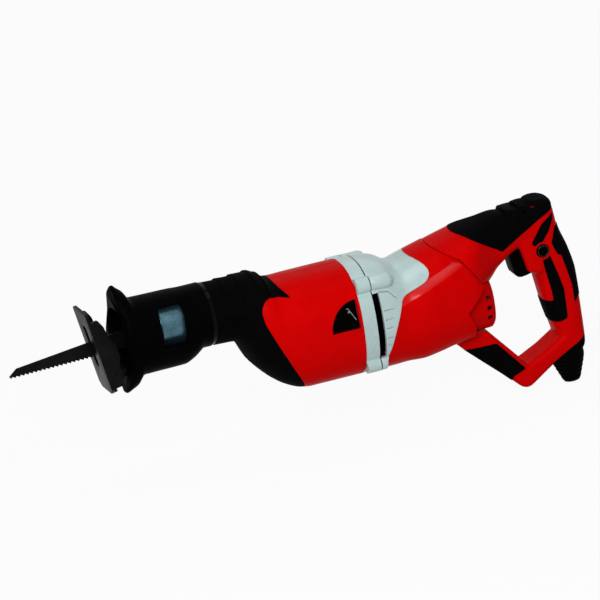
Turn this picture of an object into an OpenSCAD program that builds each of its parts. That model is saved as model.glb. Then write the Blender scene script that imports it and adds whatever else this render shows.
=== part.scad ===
// Reciprocating saw with a D-handle, a tilting shoe and a keyless blade clamp.
// X runs along the tool with the blade towards -X, Z is up, and the origin is where the
// plunger axis meets the front face of the shoe.

/* [Blade and shoe] */
// Length of the blade in front of the shoe face
blade_out = 82; // [60:1:150]
// Thickness of the blade
blade_t = 1.3; // [0.9:0.1:1.6]
// Height of the blade at the shoe
blade_h = 15.5; // [13:0.5:18]
// Spacing of the saw teeth
tooth_pitch = 4.2; // [3:0.1:6]
// Width of the shoe plate
shoe_w = 37; // [32:1:40]
// Height of the shoe plate above the plunger axis
shoe_up = 33; // [28:1:38]
// Height of the shoe plate below the plunger axis
shoe_down = 51; // [47:1:55]
// Thickness of the shoe plate
shoe_t = 3; // [2:0.5:4]
// Lean of the shoe plate, top edge forward
shoe_lean = 11; // [0:0.5:14]
// Width of the blade slot in the shoe
shoe_slot_w = 10; // [8:0.5:12]
// Width of the shoe's guide bar
bar_w = 20; // [16:1:22]
// Height of the shoe's guide bar
bar_h = 7; // [6:0.5:8]

/* [Nose] */
// Distance from the shoe face to the finger guard
guard_x = 26; // [24:1:32]
// Radius of the nose
nose_r = 30.5; // [29:0.5:33]
// Half width of the finger guard
guard_r = 31.5; // [31:0.5:35]
// Rise of the guard's ears above the nose
guard_ear = 18.5; // [14:0.5:21]
// Length of the collar behind the flared guard
collar_len = 68; // [64:1:76]
// Depth of the guide channel below the plunger axis
channel_drop = 34; // [33:0.5:36]
// Wall of the collar
collar_wall = 4; // [3:0.2:5]
// Length of the metal ring between collar and front grip
nose_ring_len = 4; // [3:0.5:6]

/* [Body] */
// Length of the straight front grip
grip_straight = 20; // [16:1:28]
// Length over which the grip swells to the body
swell_len = 64; // [58:1:72]
// Length of the front cover behind the swell
cover_len = 50; // [46:1:58]
// Width of the clamp ring
ring_len = 13; // [11:0.5:16]
// Width of the body
body_w = 100; // [98:1:108]
// Height of the body
body_h = 108; // [106:1:116]
// Roundness of the body's section, 2 is an ellipse
body_round = 2.4; // [2.2:0.1:2.8]
// Thickness of the soft grip and the front cover
skin_t = 4; // [3:0.25:4.5]
// Wall of the gear case
case_wall = 3.8; // [3:0.2:4.2]
// Radius of the four screw bosses
boss_r = 7.5; // [7:0.25:9]
// Width of the air slot behind the clamp ring
air_slot_w = 5; // [4:0.5:6]
// Length of the motor barrel
barrel_len = 92; // [88:1:100]
// Wall of the motor barrel
barrel_wall = 3; // [2.4:0.2:3.4]
// Reach of the rear vent cover behind the barrel
vent_reach = 32; // [30:1:38]

/* [Drive] */
// Drop from the plunger axis to the motor axis
motor_drop = 36; // [35:0.25:37.5]
// Stroke of the plunger
stroke = 28; // [22:1:30]
// Radius of the plunger rod
rod_r = 8; // [7:0.25:8.5]
// Radius of the crank pin's roller
roller_r = 6; // [5:0.25:6.5]
// Module of the crown gear and pinion
gear_module = 1.5; // [1.4:0.05:1.6]
// Teeth of the pinion
pinion_teeth = 10; // [9:1:11]
// Teeth of the crown gear
crown_teeth = 40; // [38:1:42]
// Radius of the crank shaft
crank_shaft_r = 6; // [5:0.25:6.5]
// Radius of the armature shaft
shaft_r = 5; // [4.5:0.25:6]
// Thickness of the motor's field core
field_t = 13; // [11:0.5:14]
// Radius of the commutator
commutator_r = 13; // [11:0.5:14]

/* [Handle] */
// Reach of the handle behind the barrel
handle_reach = 121; // [118:0.5:125]
// Width of the grip
grip_w = 36; // [33:1:39]
// Depth of the grip, front to back
grip_d = 32; // [30:0.5:36]
// Wall of the handle shells
handle_wall = 4; // [3.5:0.25:4.5]
// Depth of the soft pads in the handle shells
pad_t = 2; // [1.5:0.25:2.25]
// Height that the soft pads stand proud
pad_proud = 0.6; // [0.2:0.1:1]
// Width of the trigger
trigger_w = 22; // [18:1:24]
// Swing of the trigger in degrees
trigger_swing = 9; // [5:0.5:10]
// Radius of the lock button
button_r = 6.3; // [5.5:0.1:7]
// Travel of the lock button
button_travel = 3; // [2:0.25:3.5]
// Radius of the boot where it leaves the handle
boot_top_r = 15.5; // [14:0.25:16]
// Radius of the boot's lower end
boot_end_r = 8; // [7:0.25:9]
// Radius of the cord bore through the boot
cord_r = 4; // [3:0.25:5]

/* [Fits] */
// Gap between moulded pieces
fit = 0.25; // [0.2:0.05:0.35]
// Radial clearance of running shafts
run_fit = 0.03; // [0.02:0.01:0.06]
// Gap between pieces that move past each other
slide_gap = 0.4; // [0.3:0.05:0.6]

/* [Hidden] */
$fn = 64;
hull_fn = 12;
boss_fn = 16;
mesh_fn = 24;
section_points = 24;

// Places along X
guard_t = 5;
guard_flare = 13;
guard_x1 = guard_x + guard_t;
collar_x0 = guard_x1 + guard_flare;
collar_x1 = collar_x0 + collar_len;
grip_x0 = collar_x1 + nose_ring_len;
swell_x0 = grip_x0 + grip_straight;
cover_x0 = swell_x0 + swell_len;
ring_x0 = cover_x0 + cover_len;
seam_x = ring_x0 + ring_len;
shoulder_x = seam_x + 37;
barrel_x1 = seam_x + barrel_len;
rear_x = barrel_x1 + vent_reach;
motor_z = -motor_drop;

// Heights of the body's top and bottom lines
cover_top = motor_z + body_h / 2;
cover_bottom = motor_z - body_h / 2;
shoulder_dip = 11.5;
barrel_top = cover_top - shoulder_dip;
barrel_bottom = cover_bottom + 1;
barrel_half = body_w / 2 - 4;

function mix(a, b, t) = a + (b - a) * t;
function swell(t) = pow(sin(90 * t), 0.76);
function smooth(t) = let (u = max(0, min(1, t))) u * u * (3 - 2 * u);

// Body stations: x, top, bottom, half width, roundness
swell_steps = [0, 0.2, 0.4, 0.5, 0.65, 0.85, 1];
body_line = concat(
    [for (t = swell_steps) [
        swell_x0 + t * swell_len,
        mix(nose_r, cover_top, smooth((t - 0.375) / 0.3)),
        mix(-nose_r, cover_bottom, swell(t)),
        mix(nose_r, body_w / 2, swell(t)),
        mix(2, body_round, t)
    ]],
    [
        [seam_x, cover_top, cover_bottom, body_w / 2, body_round],
        [seam_x + 20, cover_top - 3, cover_bottom, body_w / 2 - 1, body_round],
        [shoulder_x, barrel_top, barrel_bottom, barrel_half + 1, body_round],
        [shoulder_x + 12, barrel_top + 3, barrel_bottom, barrel_half + 1, body_round],
        [shoulder_x + 31, barrel_top + 7, barrel_bottom + 1, barrel_half, body_round],
        [barrel_x1, barrel_top + 8, barrel_bottom + 2, barrel_half - 2, body_round],
        [barrel_x1 + 8, barrel_top + 3, barrel_bottom + 3, barrel_half - 3, body_round],
        [rear_x - 10, motor_z + 28, motor_z - 47, barrel_half - 8, body_round],
        [rear_x - 2, motor_z + 19, motor_z - 46, barrel_half - 12, body_round],
        [rear_x, motor_z + 16, motor_z - 43, barrel_half - 15, body_round]
    ]
);

// Collar stations, from the guard's face to the metal ring
channel_bottom = -channel_drop - bar_h / 2 - slide_gap - collar_wall;
collar_line = [
    [guard_x, nose_r + guard_ear, channel_bottom - guard_ear + 3, guard_r, 1.6],
    [guard_x1, nose_r + guard_ear, channel_bottom - guard_ear + 3, guard_r, 1.6],
    [guard_x1 + 6, nose_r + 0.6 * guard_ear, channel_bottom - 0.55 * guard_ear, guard_r - 0.5, 1.9],
    [collar_x0, nose_r + 1.5, channel_bottom, nose_r + 1, 2.2],
    [collar_x1 - 28, nose_r + 0.5, channel_bottom + 0.5, nose_r + 0.5, 2.2],
    [collar_x1 - 18, nose_r, channel_bottom + 4, nose_r, 2.1],
    [collar_x1 - 8, nose_r, -nose_r, nose_r, 2]
];

// Handle: upper arm stations along X, then grip stations along Z, then the two legs
hx = barrel_x1;
grip_rear = hx + handle_reach;
function along(t) = mix(hx, grip_rear, t);
arm_line = [
    [hx - 26, barrel_top + 6, -20, barrel_half - 16, 2.4],
    [hx - 6, 18, -30, barrel_half - 11, 2.6],
    [along(0.165), 24.5, -38, grip_w / 2 + 11, 2.7],
    [along(0.265), 26.5, -36, grip_w / 2 + 5.5, 2.8],
    [along(0.36), 29.3, -22, grip_w / 2 + 3.5, 2.8],
    [along(0.43), 28.3, -15.5, grip_w / 2 + 2.3, 2.8],
    [along(0.44), 31, -14.5, grip_w / 2 + 2.2, 2.8],
    [along(0.535), 29.6, -8.5, grip_w / 2 + 1, 2.8],
    [along(0.545), 32.2, -8, grip_w / 2 + 1, 2.8],
    [along(0.635), 30.6, -8, grip_w / 2 + 0.5, 2.8],
    [along(0.645), 33, -8, grip_w / 2 + 0.5, 2.8],
    [grip_rear - 38, 33.2, -8, grip_w / 2 + 0.5, 2.8]
];
grip_line = [
    [33.5, grip_rear - 42, grip_rear - 24, grip_w / 2 - 6],
    [31.5, grip_rear - 46, grip_rear - 19, grip_w / 2 - 2.5],
    [25, grip_rear - 50, grip_rear - 16, grip_w / 2],
    [4, grip_rear - 48, grip_rear - 13.5, grip_w / 2 + 0.5],
    [-20, grip_rear - grip_d - 11, grip_rear - 6.5, grip_w / 2 + 0.5],
    [-43, grip_rear - grip_d - 7.5, grip_rear - 1.5, grip_w / 2],
    [-70, grip_rear - grip_d - 3, grip_rear + 0.5, grip_w / 2],
    [-98, grip_rear - grip_d + 3.5, grip_rear + 0.5, grip_w / 2],
    [-114, grip_rear - grip_d + 7, grip_rear - 0.5, grip_w / 2 - 0.5],
    [-121, grip_rear - grip_d + 10, grip_rear - 5, grip_w / 2 - 2.5]
];
// Shroud beside the trigger, as chamfered discs: x, z, radius, half width
shroud_line = [
    [grip_rear - 55.5, -2.5, 4, grip_w / 2], [grip_rear - 46, -29.5, 4, grip_w / 2],
    [grip_rear - 38, -32, 5, grip_w / 2], [grip_rear - 36, 0, 9, grip_w / 2]
];
vee_z = -133;
leg_line = [
    [hx + 3, -76.5, 12.5, grip_w / 2 + 2],
    [along(0.149), -91.5, 12, grip_w / 2 + 0.5],
    [along(0.347), -116, 11, grip_w / 2],
    [along(0.467), vee_z, 10, grip_w / 2 - 0.5],
    [grip_rear - 38, -118.5, 8.5, grip_w / 2 - 0.5],
    [grip_rear - 15, -106, 9.5, grip_w / 2 - 0.5]
];

// Crank and motor places
crank_r = stroke / 2;
pinion_pitch_r = gear_module * pinion_teeth / 2;
crown_pitch_r = gear_module * crown_teeth / 2;
tooth_up = 0.8 * gear_module;
tooth_down = 1.1 * gear_module;
crown_pitch_z = motor_z + pinion_pitch_r;
crown_face_z = crown_pitch_z + tooth_down;
crown_t = 9;
crown_top_z = crown_face_z + crown_t;
crown_band = 4.5;
crank_x = cover_x0 - 7;
pinion_x0 = crank_x + crown_pitch_r - crown_band - 0.5;
pinion_len = 18;
yoke_wall = 6;
// The drive is coupled straight, so the yoke slot is wider than the roller by the difference
slot_half_x = roller_r + 0.215 * crank_r + slide_gap;
slot_half_y = crank_r + roller_r + 1;
yoke_half_x = slot_half_x + yoke_wall;
yoke_half_y = slot_half_y + yoke_wall - 1;
yoke_top = 0.5;
yoke_bottom = crown_top_z + 6;
crank_bearing_r = crank_shaft_r + 8;
crank_bearing_h = 8;
case_floor_z = cover_bottom + skin_t + fit + case_wall + 14;
guide_bore_r = rod_r + 4;
guide_r = guide_bore_r + 3;
case_x0 = collar_x1 - 10;
bulkhead_x1 = case_x0 + 22;
guide_x1 = crank_x - yoke_half_x - crank_r - 2;
plate_x0 = ring_x0 - 6;
plate_t = 12;
motor_bearing_r = shaft_r + 10;
// The motor fills the barrel, less the room at its sides, its top and its two ends
stator_r = min(body_w / 2 - 12, body_h / 2 - 16);
core_r = stator_r - field_t;
core_len = barrel_len - 44;
fan_x0 = seam_x - 3;
fan_len = 13;
core_x0 = seam_x + 29;
core_x1 = core_x0 + core_len;
commutator_x0 = core_x1 + 12;
commutator_len = 16;
rear_shaft_r = shaft_r - 1;
rear_bearing_r = 11;
rear_bearing_x0 = rear_x - 17;
rear_bearing_len = 7;
brush_w = 8;
brush_t = 6;
brush_x = commutator_x0 + commutator_len / 2;

// Blade clamp places
clamp_x0 = collar_x0 + 12;
clamp_len = 26;
clamp_r = 14;
flange = 4;
sleeve_r = nose_r - collar_wall - 2.5;
sleeve_x0 = clamp_x0 + 1;
sleeve_len = clamp_len + 4;
tang_h = 12;

// Shoe places
pivot_x = 16.5;
pivot_r = 3;
eye_r = 5.5;
cheek_t = 2.5;
bar_x1 = collar_x1 - 32;

// Four screw bosses around the clamp ring
boss_y = body_w / 2 - 14;
boss_z = body_h / 2 - 17;
boss_len = 22;
screw_r = 2.5;

// Selector recess in the left cover
sel_x = ring_x0 - 8.5;
sel_z = motor_z + 8;
sel_tilt = 12;
sel_recess_r = 28;
sel_arm = 18;
sel_hub_r = 4.2;
sel_depth = 5;
sel_skin_y = -body_w / 2 + 0.3;

// Switch inside the grip
switch_x0 = grip_rear - 35;
switch_len = 15;
switch_z0 = -36;
switch_h = 27;
switch_half = 9;

// Trigger and button places
trigger_pivot = [grip_rear - 59, -3];
trigger_pin_r = 2;
pin_reach = grip_w / 2 + 1 - handle_wall - fit;
spring_x0 = grip_rear - 45.8;
spring_z = -18;
spring_r = 3;
button_at = [grip_rear - 33, -14];
button_boss_r = button_r + 2.2;
button_y = -grip_w / 2 - 2;
button_len = -switch_half - button_y - button_travel - 0.2;
button_rim_y = handle_wall + slide_gap - grip_w / 2 - 0.5;
boot_x = grip_rear - 19;
boot_z0 = -112;
boot_z1 = -151;
boot_lean = 4;
boot_straight = 16;
boot_neck_r = boot_top_r - 3.5;

// Inner reach of the rear vent cover at the brushes
brush_reach = barrel_half - 2 - 2 * barrel_wall - 2 * fit - 2.5;

// Side outlines of the soft pads
top_pad_edge = [
    [hx, 60], [hx + 3.5, 22], [hx + 8, 21.5], [along(0.103), 20], [along(0.178), 14.4], [along(0.295), 4.4],
    [along(0.4), -4.5], [along(0.51), 3], [grip_rear - 43, 11.6], [grip_rear - 32, 17.7], [grip_rear - 18, 24],
    [grip_rear, 60]
];
stripe_edge = [
    [grip_rear - 20.3, 19.8], [grip_rear - 22, 14], [grip_rear - 33.4, -5.6], [grip_rear - 40.4, -7.9],
    [grip_rear - 42.5, -4.8], [grip_rear - 30.5, 12.3]
];
palm_edge = [
    [grip_rear - 34, -24], [grip_rear - 27.3, -18.5], [grip_rear - 21.3, -39.6], [grip_rear - 17.6, -55.5],
    [grip_rear - 17.8, -84], [grip_rear - 24.6, -87], [grip_rear - 60, -87], [grip_rear - 60, -65.5],
    [grip_rear - 28.4, -65.5], [grip_rear - 29, -56]
];
rear_pad_edge = [
    [grip_rear - 17.5, 6], [grip_rear + 30, 6], [grip_rear + 30, -66], [grip_rear - 3.5, -66],
    [grip_rear - 8.2, -71], [grip_rear - 8.5, -53], [grip_rear - 15.3, -22.5], [grip_rear - 19.3, -20.3],
    [grip_rear - 23.5, -8.3]
];
leg_pad_edge = [
    [hx + 1, -91], [along(0.253), -92.3], [along(0.46), -123.2], [along(0.355), -128], [along(0.31), -140],
    [along(0.25), -160], [hx - 20, -160]
];

// Cap of the boot that closes the grip's lower end
boot_cap_edge = [
    [grip_rear + 10, -99], [grip_rear - 43, -128.7], [grip_rear - 40, -150], [grip_rear + 10, -150]
];

// Screws that join the handle shells
handle_screw_places = [
    [along(0.314), 8], [grip_rear - 23, 0], [grip_rear - 14, -92], [along(0.467), vee_z], [along(0.198), -97]
];
handle_screw_y0 = -10;
handle_screw_y1 = 13;

soft_black = "#181818";
shell_red = "#c80000";
silver_paint = "#c3cac9";
steel = "#8e98a3";
dark_steel = "#3c4046";
bronze = "#a9803f";
copper = "#b5652d";

// Outline of a rounded section with half sizes a and b
function outline(a, b, n) = [for (i = [0 : section_points - 1])
    let (t = 360 * i / section_points, c = cos(t), s = sin(t))
    [a * sign(c) * pow(abs(c), 2 / n), b * sign(s) * pow(abs(s), 2 / n)]];

// Value of one column of a station list at x
function at(line, x, col) = lookup(x, [for (s = line) [s[0], s[col]]]);

// Ring of points across X at one station, grown by off
function ring(line, x, off) =
    let (
        top = at(line, x, 1) + off,
        bottom = at(line, x, 2) - off,
        flat = outline(at(line, x, 3) + off, (top - bottom) / 2, at(line, x, 4))
    )
    [for (p = flat) [x, p[0], (top + bottom) / 2 + p[1]]];

// Convex solid between two rings of points
module span(a, b) {
    n = len(a);
    walls = [for (i = [0 : n - 1]) [i, (i + 1) % n, n + (i + 1) % n, n + i]];
    ends = [[for (i = [n - 1 : -1 : 0]) i], [for (i = [0 : n - 1]) n + i]];
    hull()
        polyhedron(concat(a, b), concat(walls, ends));
}

// Solid through a station list from x0 to x1, grown by off
module loft(line, x0, x1, off) {
    inner = [for (s = line) if (s[0] > x0 + 0.1 && s[0] < x1 - 0.1) s[0]];
    xs = concat([x0], inner, [x1]);
    for (i = [0 : len(xs) - 2])
        span(ring(line, xs[i], off), ring(line, xs[i + 1], off));
}

// Extruded outline in the XZ plane, from y0 to y1
module prism(points, y0, y1) {
    translate([0, y1, 0])
        rotate([90, 0, 0])
            linear_extrude(y1 - y0)
                polygon(points);
}

module rod_x(x0, x1, r) {
    translate([x0, 0, 0])
        rotate([0, 90, 0])
            cylinder(h = x1 - x0, r = r);
}

module tube_x(x0, x1, r_in, r_out) {
    difference() {
        rod_x(x0, x1, r_out);
        rod_x(x0 - 1, x1 + 1, r_in);
    }
}

module rod_y(x, z, y0, y1, r) {
    translate([x, y1, z])
        rotate([90, 0, 0])
            cylinder(h = y1 - y0, r = r);
}

// Everything on one side of the middle plane, side is -1 or 1
module half(side) {
    reach = 400;
    translate([-reach, side < 0 ? -reach : 0, -reach])
        cube([3 * reach, reach, 2 * reach]);
}

// Coil spring along Z as one swept wire
module coil_spring(r, wire_r, length, turns) {
    sides = 5;
    per_turn = 8;
    rings = turns * per_turn;
    points = [for (i = [0 : rings]) let (a = 360 * i / per_turn, z = mix(wire_r, length - wire_r, i / rings))
        for (j = [0 : sides - 1]) let (b = 360 * j / sides, rr = r + wire_r * cos(b))
            [rr * cos(a), rr * sin(a), z + wire_r * sin(b)]];
    walls = [for (i = [0 : rings - 1]) for (j = [0 : sides - 1]) let (k = (j + 1) % sides, n = sides)
        each [[i * n + j, i * n + k, (i + 1) * n + k], [i * n + j, (i + 1) * n + k, (i + 1) * n + j]]];
    ends = [[for (j = [sides - 1 : -1 : 0]) j], [for (j = [0 : sides - 1]) rings * sides + j]];
    polyhedron(points, concat(walls, ends));
}

// Blade with a sloping back and teeth along its lower edge
module saw_blade() {
    slope = 0.015;
    depth = 1.7;
    tip = -blade_out;
    last = 30;
    count = floor((last - tip - 4) / tooth_pitch);
    back_slope = 0.11;
    back_x = clamp_x0 - 4;
    low = tang_h / 2 - back_slope * back_x - blade_h;
    teeth = [for (i = [0 : count - 1]) for (k = [0, 1])
        let (x = tip + 2 + i * tooth_pitch + k * 0.22 * tooth_pitch)
        [x, low + slope * x + k * depth]];
    back = [
        [clamp_x0 + 20, tang_h / 2],
        [back_x, tang_h / 2],
        [tip + 8, tang_h / 2 - back_slope * (back_x - tip - 8)],
        [tip, low + slope * tip + 2]
    ];
    front = [[last + 4, low + slope * last + depth], [back_x, -tang_h / 2], [clamp_x0 + 20, -tang_h / 2]];
    color(dark_steel)
        difference() {
            prism(concat(teeth, front, back), -blade_t / 2, blade_t / 2);
            rod_y(clamp_x0 + 10, 0, -blade_t, blade_t, 2 + fit);
        }
}

// Round block on the plunger's end that grips the blade's tang
module blade_clamp() {
    slot_w = blade_t + 2 * fit;
    color(steel)
        difference() {
            union() {
                rod_x(clamp_x0 - 3, clamp_x0 + clamp_len + 2, clamp_r);
                rod_x(clamp_x0 + clamp_len - 1 + slide_gap, clamp_x0 + clamp_len + 2, clamp_r + flange);
            }
            translate([clamp_x0 - 4, -slot_w / 2, -tang_h / 2 - fit])
                cube([24.5, slot_w, tang_h + 2 * fit]);
            rod_x(clamp_x0 + clamp_len - 4, clamp_x0 + clamp_len + 3, rod_r + run_fit);
            rod_y(clamp_x0 + 10, 0, -clamp_r - 1, clamp_r + 1, 2 + run_fit);
            tube_x(clamp_x0 - 0.8, clamp_x0 + 0.6, clamp_r - 1, clamp_r + 1);
        }
}

module clamp_pin() {
    color(steel)
        rod_y(clamp_x0 + 10, 0, 0.5 - clamp_r, clamp_r - 0.5, 2);
}

// Sleeve that turns to let the blade go
module clamp_sleeve() {
    step = 2.5;
    front_len = 8;
    color(steel)
        difference() {
            union() {
                rod_x(sleeve_x0, sleeve_x0 + front_len, sleeve_r - step);
                rod_x(sleeve_x0 + front_len, sleeve_x0 + sleeve_len, sleeve_r);
            }
            rod_x(sleeve_x0 - 1, sleeve_x0 + sleeve_len + 1, clamp_r + run_fit);
            rod_x(clamp_x0 + clamp_len - 1, sleeve_x0 + sleeve_len + 1, clamp_r + flange + slide_gap);
        }
}

module clamp_retainer() {
    color(dark_steel)
        tube_x(clamp_x0 - 0.7, clamp_x0 + 0.5, clamp_r - 1 + run_fit, clamp_r + 2.5);
}

// Sliding rod with the cross slot that the crank roller runs in
module plunger() {
    color(steel)
        difference() {
            union() {
                rod_x(clamp_x0 + clamp_len - 4, crank_x - slot_half_x, rod_r);
                translate([crank_x - yoke_half_x, -yoke_half_y, yoke_bottom])
                    cube([2 * yoke_half_x, 2 * yoke_half_y, yoke_top - yoke_bottom]);
            }
            translate([crank_x - slot_half_x, -slot_half_y, yoke_bottom - 1])
                cube([2 * slot_half_x, 2 * slot_half_y, 2 * rod_r + 20]);
        }
}

// Bent shoe: a slotted face plate with two side cheeks that take the pivot pin
module shoe_plate() {
    chamfer = 5;
    lip_reach = 6.5;
    half_w = shoe_w / 2;
    face = [
        [-half_w, shoe_up - 2], [-half_w + 2, shoe_up], [half_w - 2, shoe_up], [half_w, shoe_up - 2],
        [half_w, chamfer - shoe_down], [half_w - chamfer, -shoe_down],
        [chamfer - half_w, -shoe_down], [-half_w, chamfer - shoe_down]
    ];
    cheek = [
        [0, shoe_up - 9], [7, shoe_up - 9], [13, shoe_up - 18], [14, -10], [15, -channel_drop + 9],
        [15, -channel_drop - 4], [12, chamfer - shoe_down], [0, chamfer - shoe_down]
    ];
    color(dark_steel)
        difference() {
            rotate([0, -shoe_lean, 0]) {
                difference() {
                    rotate([90, 0, 90])
                        linear_extrude(shoe_t)
                            polygon(face);
                    translate([-1, -shoe_slot_w / 2, -25])
                        cube([shoe_t + 2, shoe_slot_w, 42]);
                }
                translate([0, chamfer - half_w, -shoe_down])
                    cube([lip_reach, 2 * (half_w - chamfer), 2]);
                for (side = [-1, 1])
                    prism(cheek, side * (half_w - cheek_t / 2) - cheek_t / 2,
                        side * (half_w - cheek_t / 2) + cheek_t / 2);
            }
            rod_y(pivot_x, -channel_drop, -half_w - 1, half_w + 1, pivot_r + run_fit);
        }
}

module shoe_pivot_pin() {
    color(steel)
        rod_y(pivot_x, -channel_drop, -shoe_w / 2 - 0.5, shoe_w / 2 + 0.5, pivot_r);
}

// Flat bar that slides in the collar's channel and carries the shoe
module shoe_guide_bar() {
    eye_half = shoe_w / 2 - cheek_t - slide_gap;
    color(dark_steel)
        difference() {
            union() {
                translate([pivot_x, -bar_w / 2, -channel_drop - bar_h / 2])
                    cube([bar_x1 - pivot_x, bar_w, bar_h]);
                rod_y(pivot_x, -channel_drop, -eye_half, eye_half, eye_r);
            }
            rod_y(pivot_x, -channel_drop, -shoe_w, shoe_w, pivot_r + run_fit / 2);
        }
}

// Black collar with the flared finger guard, the shoe channel and the clamp window
module nose_collar() {
    $fn = mesh_fn;
    window_x0 = clamp_x0 + 6;
    guard_sweep = [[-10, 0], [0, 6], [1, 14], [3, 23], [7, 40], [-10, 40]];
    color(soft_black)
        difference() {
            loft(collar_line, guard_x, collar_x1, 0);
            rod_x(guard_x - 1, collar_x1 + 1, nose_r - collar_wall);
            rod_x(case_x0 - 4, collar_x1 + 1, nose_r - skin_t);
            translate([guard_x - 1, -bar_w / 2 - slide_gap, -channel_drop - bar_h / 2 - slide_gap])
                cube([collar_x1 - 22 - guard_x, bar_w + 2 * slide_gap, bar_h + 2 * slide_gap]);
            translate([window_x0, -nose_r - 10, -14])
                cube([24, nose_r, 38]);
            for (side = [-1, 1])
                translate([0, 0, -200])
                    linear_extrude(400)
                        polygon([for (p = guard_sweep) [guard_x + p[0], side * p[1]]]);
        }
}

module nose_ring() {
    color(steel)
        tube_x(collar_x1 + fit, grip_x0 - fit, nose_r - skin_t, nose_r - 0.8);
}

module plunger_seal() {
    color(soft_black)
        tube_x(case_x0 + 0.5, case_x0 + 2.5, rod_r + slide_gap, guide_r);
}

module front_bush() {
    color(bronze)
        tube_x(case_x0 + 3, case_x0 + 21, rod_r + run_fit, guide_bore_r);
}

module rear_bush() {
    color(bronze)
        tube_x(guide_x1 - 16, guide_x1, rod_r + run_fit, guide_bore_r);
}

// Flanged sleeve that holds both bushes
module plunger_guide() {
    color(steel)
        difference() {
            union() {
                rod_x(case_x0 + 2.5, guide_x1, guide_r);
                rod_x(bulkhead_x1, bulkhead_x1 + 4, guide_r + 5);
            }
            rod_x(case_x0, guide_x1 + 1, guide_bore_r);
        }
}

// Side outline of the soft front grip, grown by off
module grip_outline(off) {
    edge = [
        [0.69, 60], [0.69, 17.5], [0.827, 6.7], [0.68, 9.2], [0.515, 11.4], [0.45, 10.8], [0.394, 8.5],
        [0.35, 4], [0.33, 0], [0.353, -11.4], [0.5, -34.6], [0.69, -61], [0.867, -82.4], [1, -120]
    ];
    rotate([90, 0, 0])
        linear_extrude(3 * body_w, center = true)
            offset(delta = off)
                polygon(concat(
                    [[grip_x0 - 20, -120], [grip_x0 - 20, 60]],
                    [for (p = edge) [swell_x0 + p[0] * swell_len, p[1]]]
                ));
}

module front_grip() {
    color(soft_black)
        intersection() {
            difference() {
                loft(body_line, grip_x0, cover_x0 + 10, 0);
                loft(body_line, grip_x0 - 1, cover_x0 + 11, -skin_t);
            }
            grip_outline(0);
        }
}

// Local frame of the selector: x along the tool, y into the body, z up the slope of the side
module selector_frame() {
    translate([sel_x, sel_skin_y, sel_z])
        rotate([-sel_tilt, 0, 0])
            children();
}

// Quarter-round recess of the selector between two depths
module selector_region(y0, y1, off) {
    corner_x = 5.5;
    corner_z = -5.2;
    intersection() {
        rod_y(corner_x, corner_z, y0, y1, sel_recess_r + off);
        translate([corner_x - sel_recess_r - 1, y0, corner_z - off])
            cube([sel_recess_r + 1 + off, y1 - y0, sel_recess_r + 2]);
    }
}

module front_cover(side) {
    color(shell_red)
        intersection() {
            difference() {
                loft(body_line, swell_x0, ring_x0 - fit, 0);
                loft(body_line, swell_x0 - 1, ring_x0, -skin_t);
                grip_outline(fit);
                if (side < 0)
                    selector_frame()
                        selector_region(-8, sel_depth + 3, 0);
            }
            half(side);
        }
}

module front_cover_left() {
    front_cover(-1);
}

module front_cover_right() {
    front_cover(1);
}

module selector_plate() {
    color(soft_black)
        selector_frame()
            difference() {
                selector_region(sel_depth - 1.8, sel_depth, -fit);
                rod_y(0, 0, 0, sel_depth + 1, 2 + run_fit);
            }
}

// Lever that swings through the quarter-round recess
module selector_lever() {
    rest = 100;
    arm = [[-3.2, 0], [-2.4, sel_arm - 1], [-0.8, sel_arm], [2.4, sel_arm - 2], [3.6, 0]];
    color(soft_black)
        selector_frame() {
            rod_y(0, 0, -0.6, sel_depth - 2.2, sel_hub_r);
            rod_y(0, 0, 0, sel_depth, 2);
            rotate([0, 90 - rest, 0])
                prism(arm, 0.2, sel_depth - 2.2);
        }
}

// Places of the four screws around the clamp ring
module at_screws() {
    for (sy = [-1, 1])
        for (sz = [-1, 1])
            translate([0, sy * boss_y, motor_z + sz * boss_z])
                children();
}

// Cast gear case: hidden inner casing, open at the rear, with the silver clamp ring outside
module gear_case() {
    $fn = mesh_fn;
    skin = skin_t + fit;
    color(silver_paint)
        difference() {
            union() {
                difference() {
                    union() {
                        loft(body_line, case_x0, ring_x0 + 2, -skin);
                        loft(body_line, ring_x0, seam_x, 0);
                    }
                    difference() {
                        loft(body_line, bulkhead_x1, seam_x + 1, -skin - case_wall);
                        translate([crank_x - 22, -22, cover_bottom - 1])
                            cube([44, 44, case_floor_z - cover_bottom + 1]);
                    }
                }
                at_screws()
                    rod_x(ring_x0, seam_x, boss_r);
            }
            rod_x(case_x0 - 1, bulkhead_x1 + 1, guide_r + fit);
            selector_frame()
                selector_region(-8, sel_depth + fit, fit);
            at_screws() {
                rod_x(ring_x0 - 10, seam_x + 1, screw_r + fit);
                rod_x(ring_x0 - 10, ring_x0 + 4, 2 * screw_r);
            }
        }
}

// Crown gear with its shaft, teeth on the underside
module crank_gear() {
    tooth_half = 0.5 * gear_module;
    tooth = [
        [-tooth_half - 0.35, crown_face_z + 0.5], [tooth_half + 0.35, crown_face_z + 0.5],
        [tooth_half - 0.25, crown_pitch_z - tooth_up], [0.25 - tooth_half, crown_pitch_z - tooth_up]
    ];
    color(steel)
        translate([crank_x, 0, 0]) {
            translate([0, 0, crown_face_z])
                difference() {
                    cylinder(h = crown_t, r = crown_pitch_r + crown_band);
                    translate([0, crank_r, crown_t - 8])
                        cylinder(h = 9, r = roller_r - 2 + run_fit / 2);
                }
            translate([0, 0, case_floor_z + 2])
                cylinder(h = crown_face_z - case_floor_z, r = crank_shaft_r);
            for (i = [0 : crown_teeth - 1])
                rotate([0, 0, 360 * i / crown_teeth])
                    translate([crown_pitch_r - crown_band + 1, 0, 0])
                        rotate([90, 0, 90])
                            linear_extrude(2 * crown_band - 2)
                                polygon(tooth);
        }
}

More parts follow.
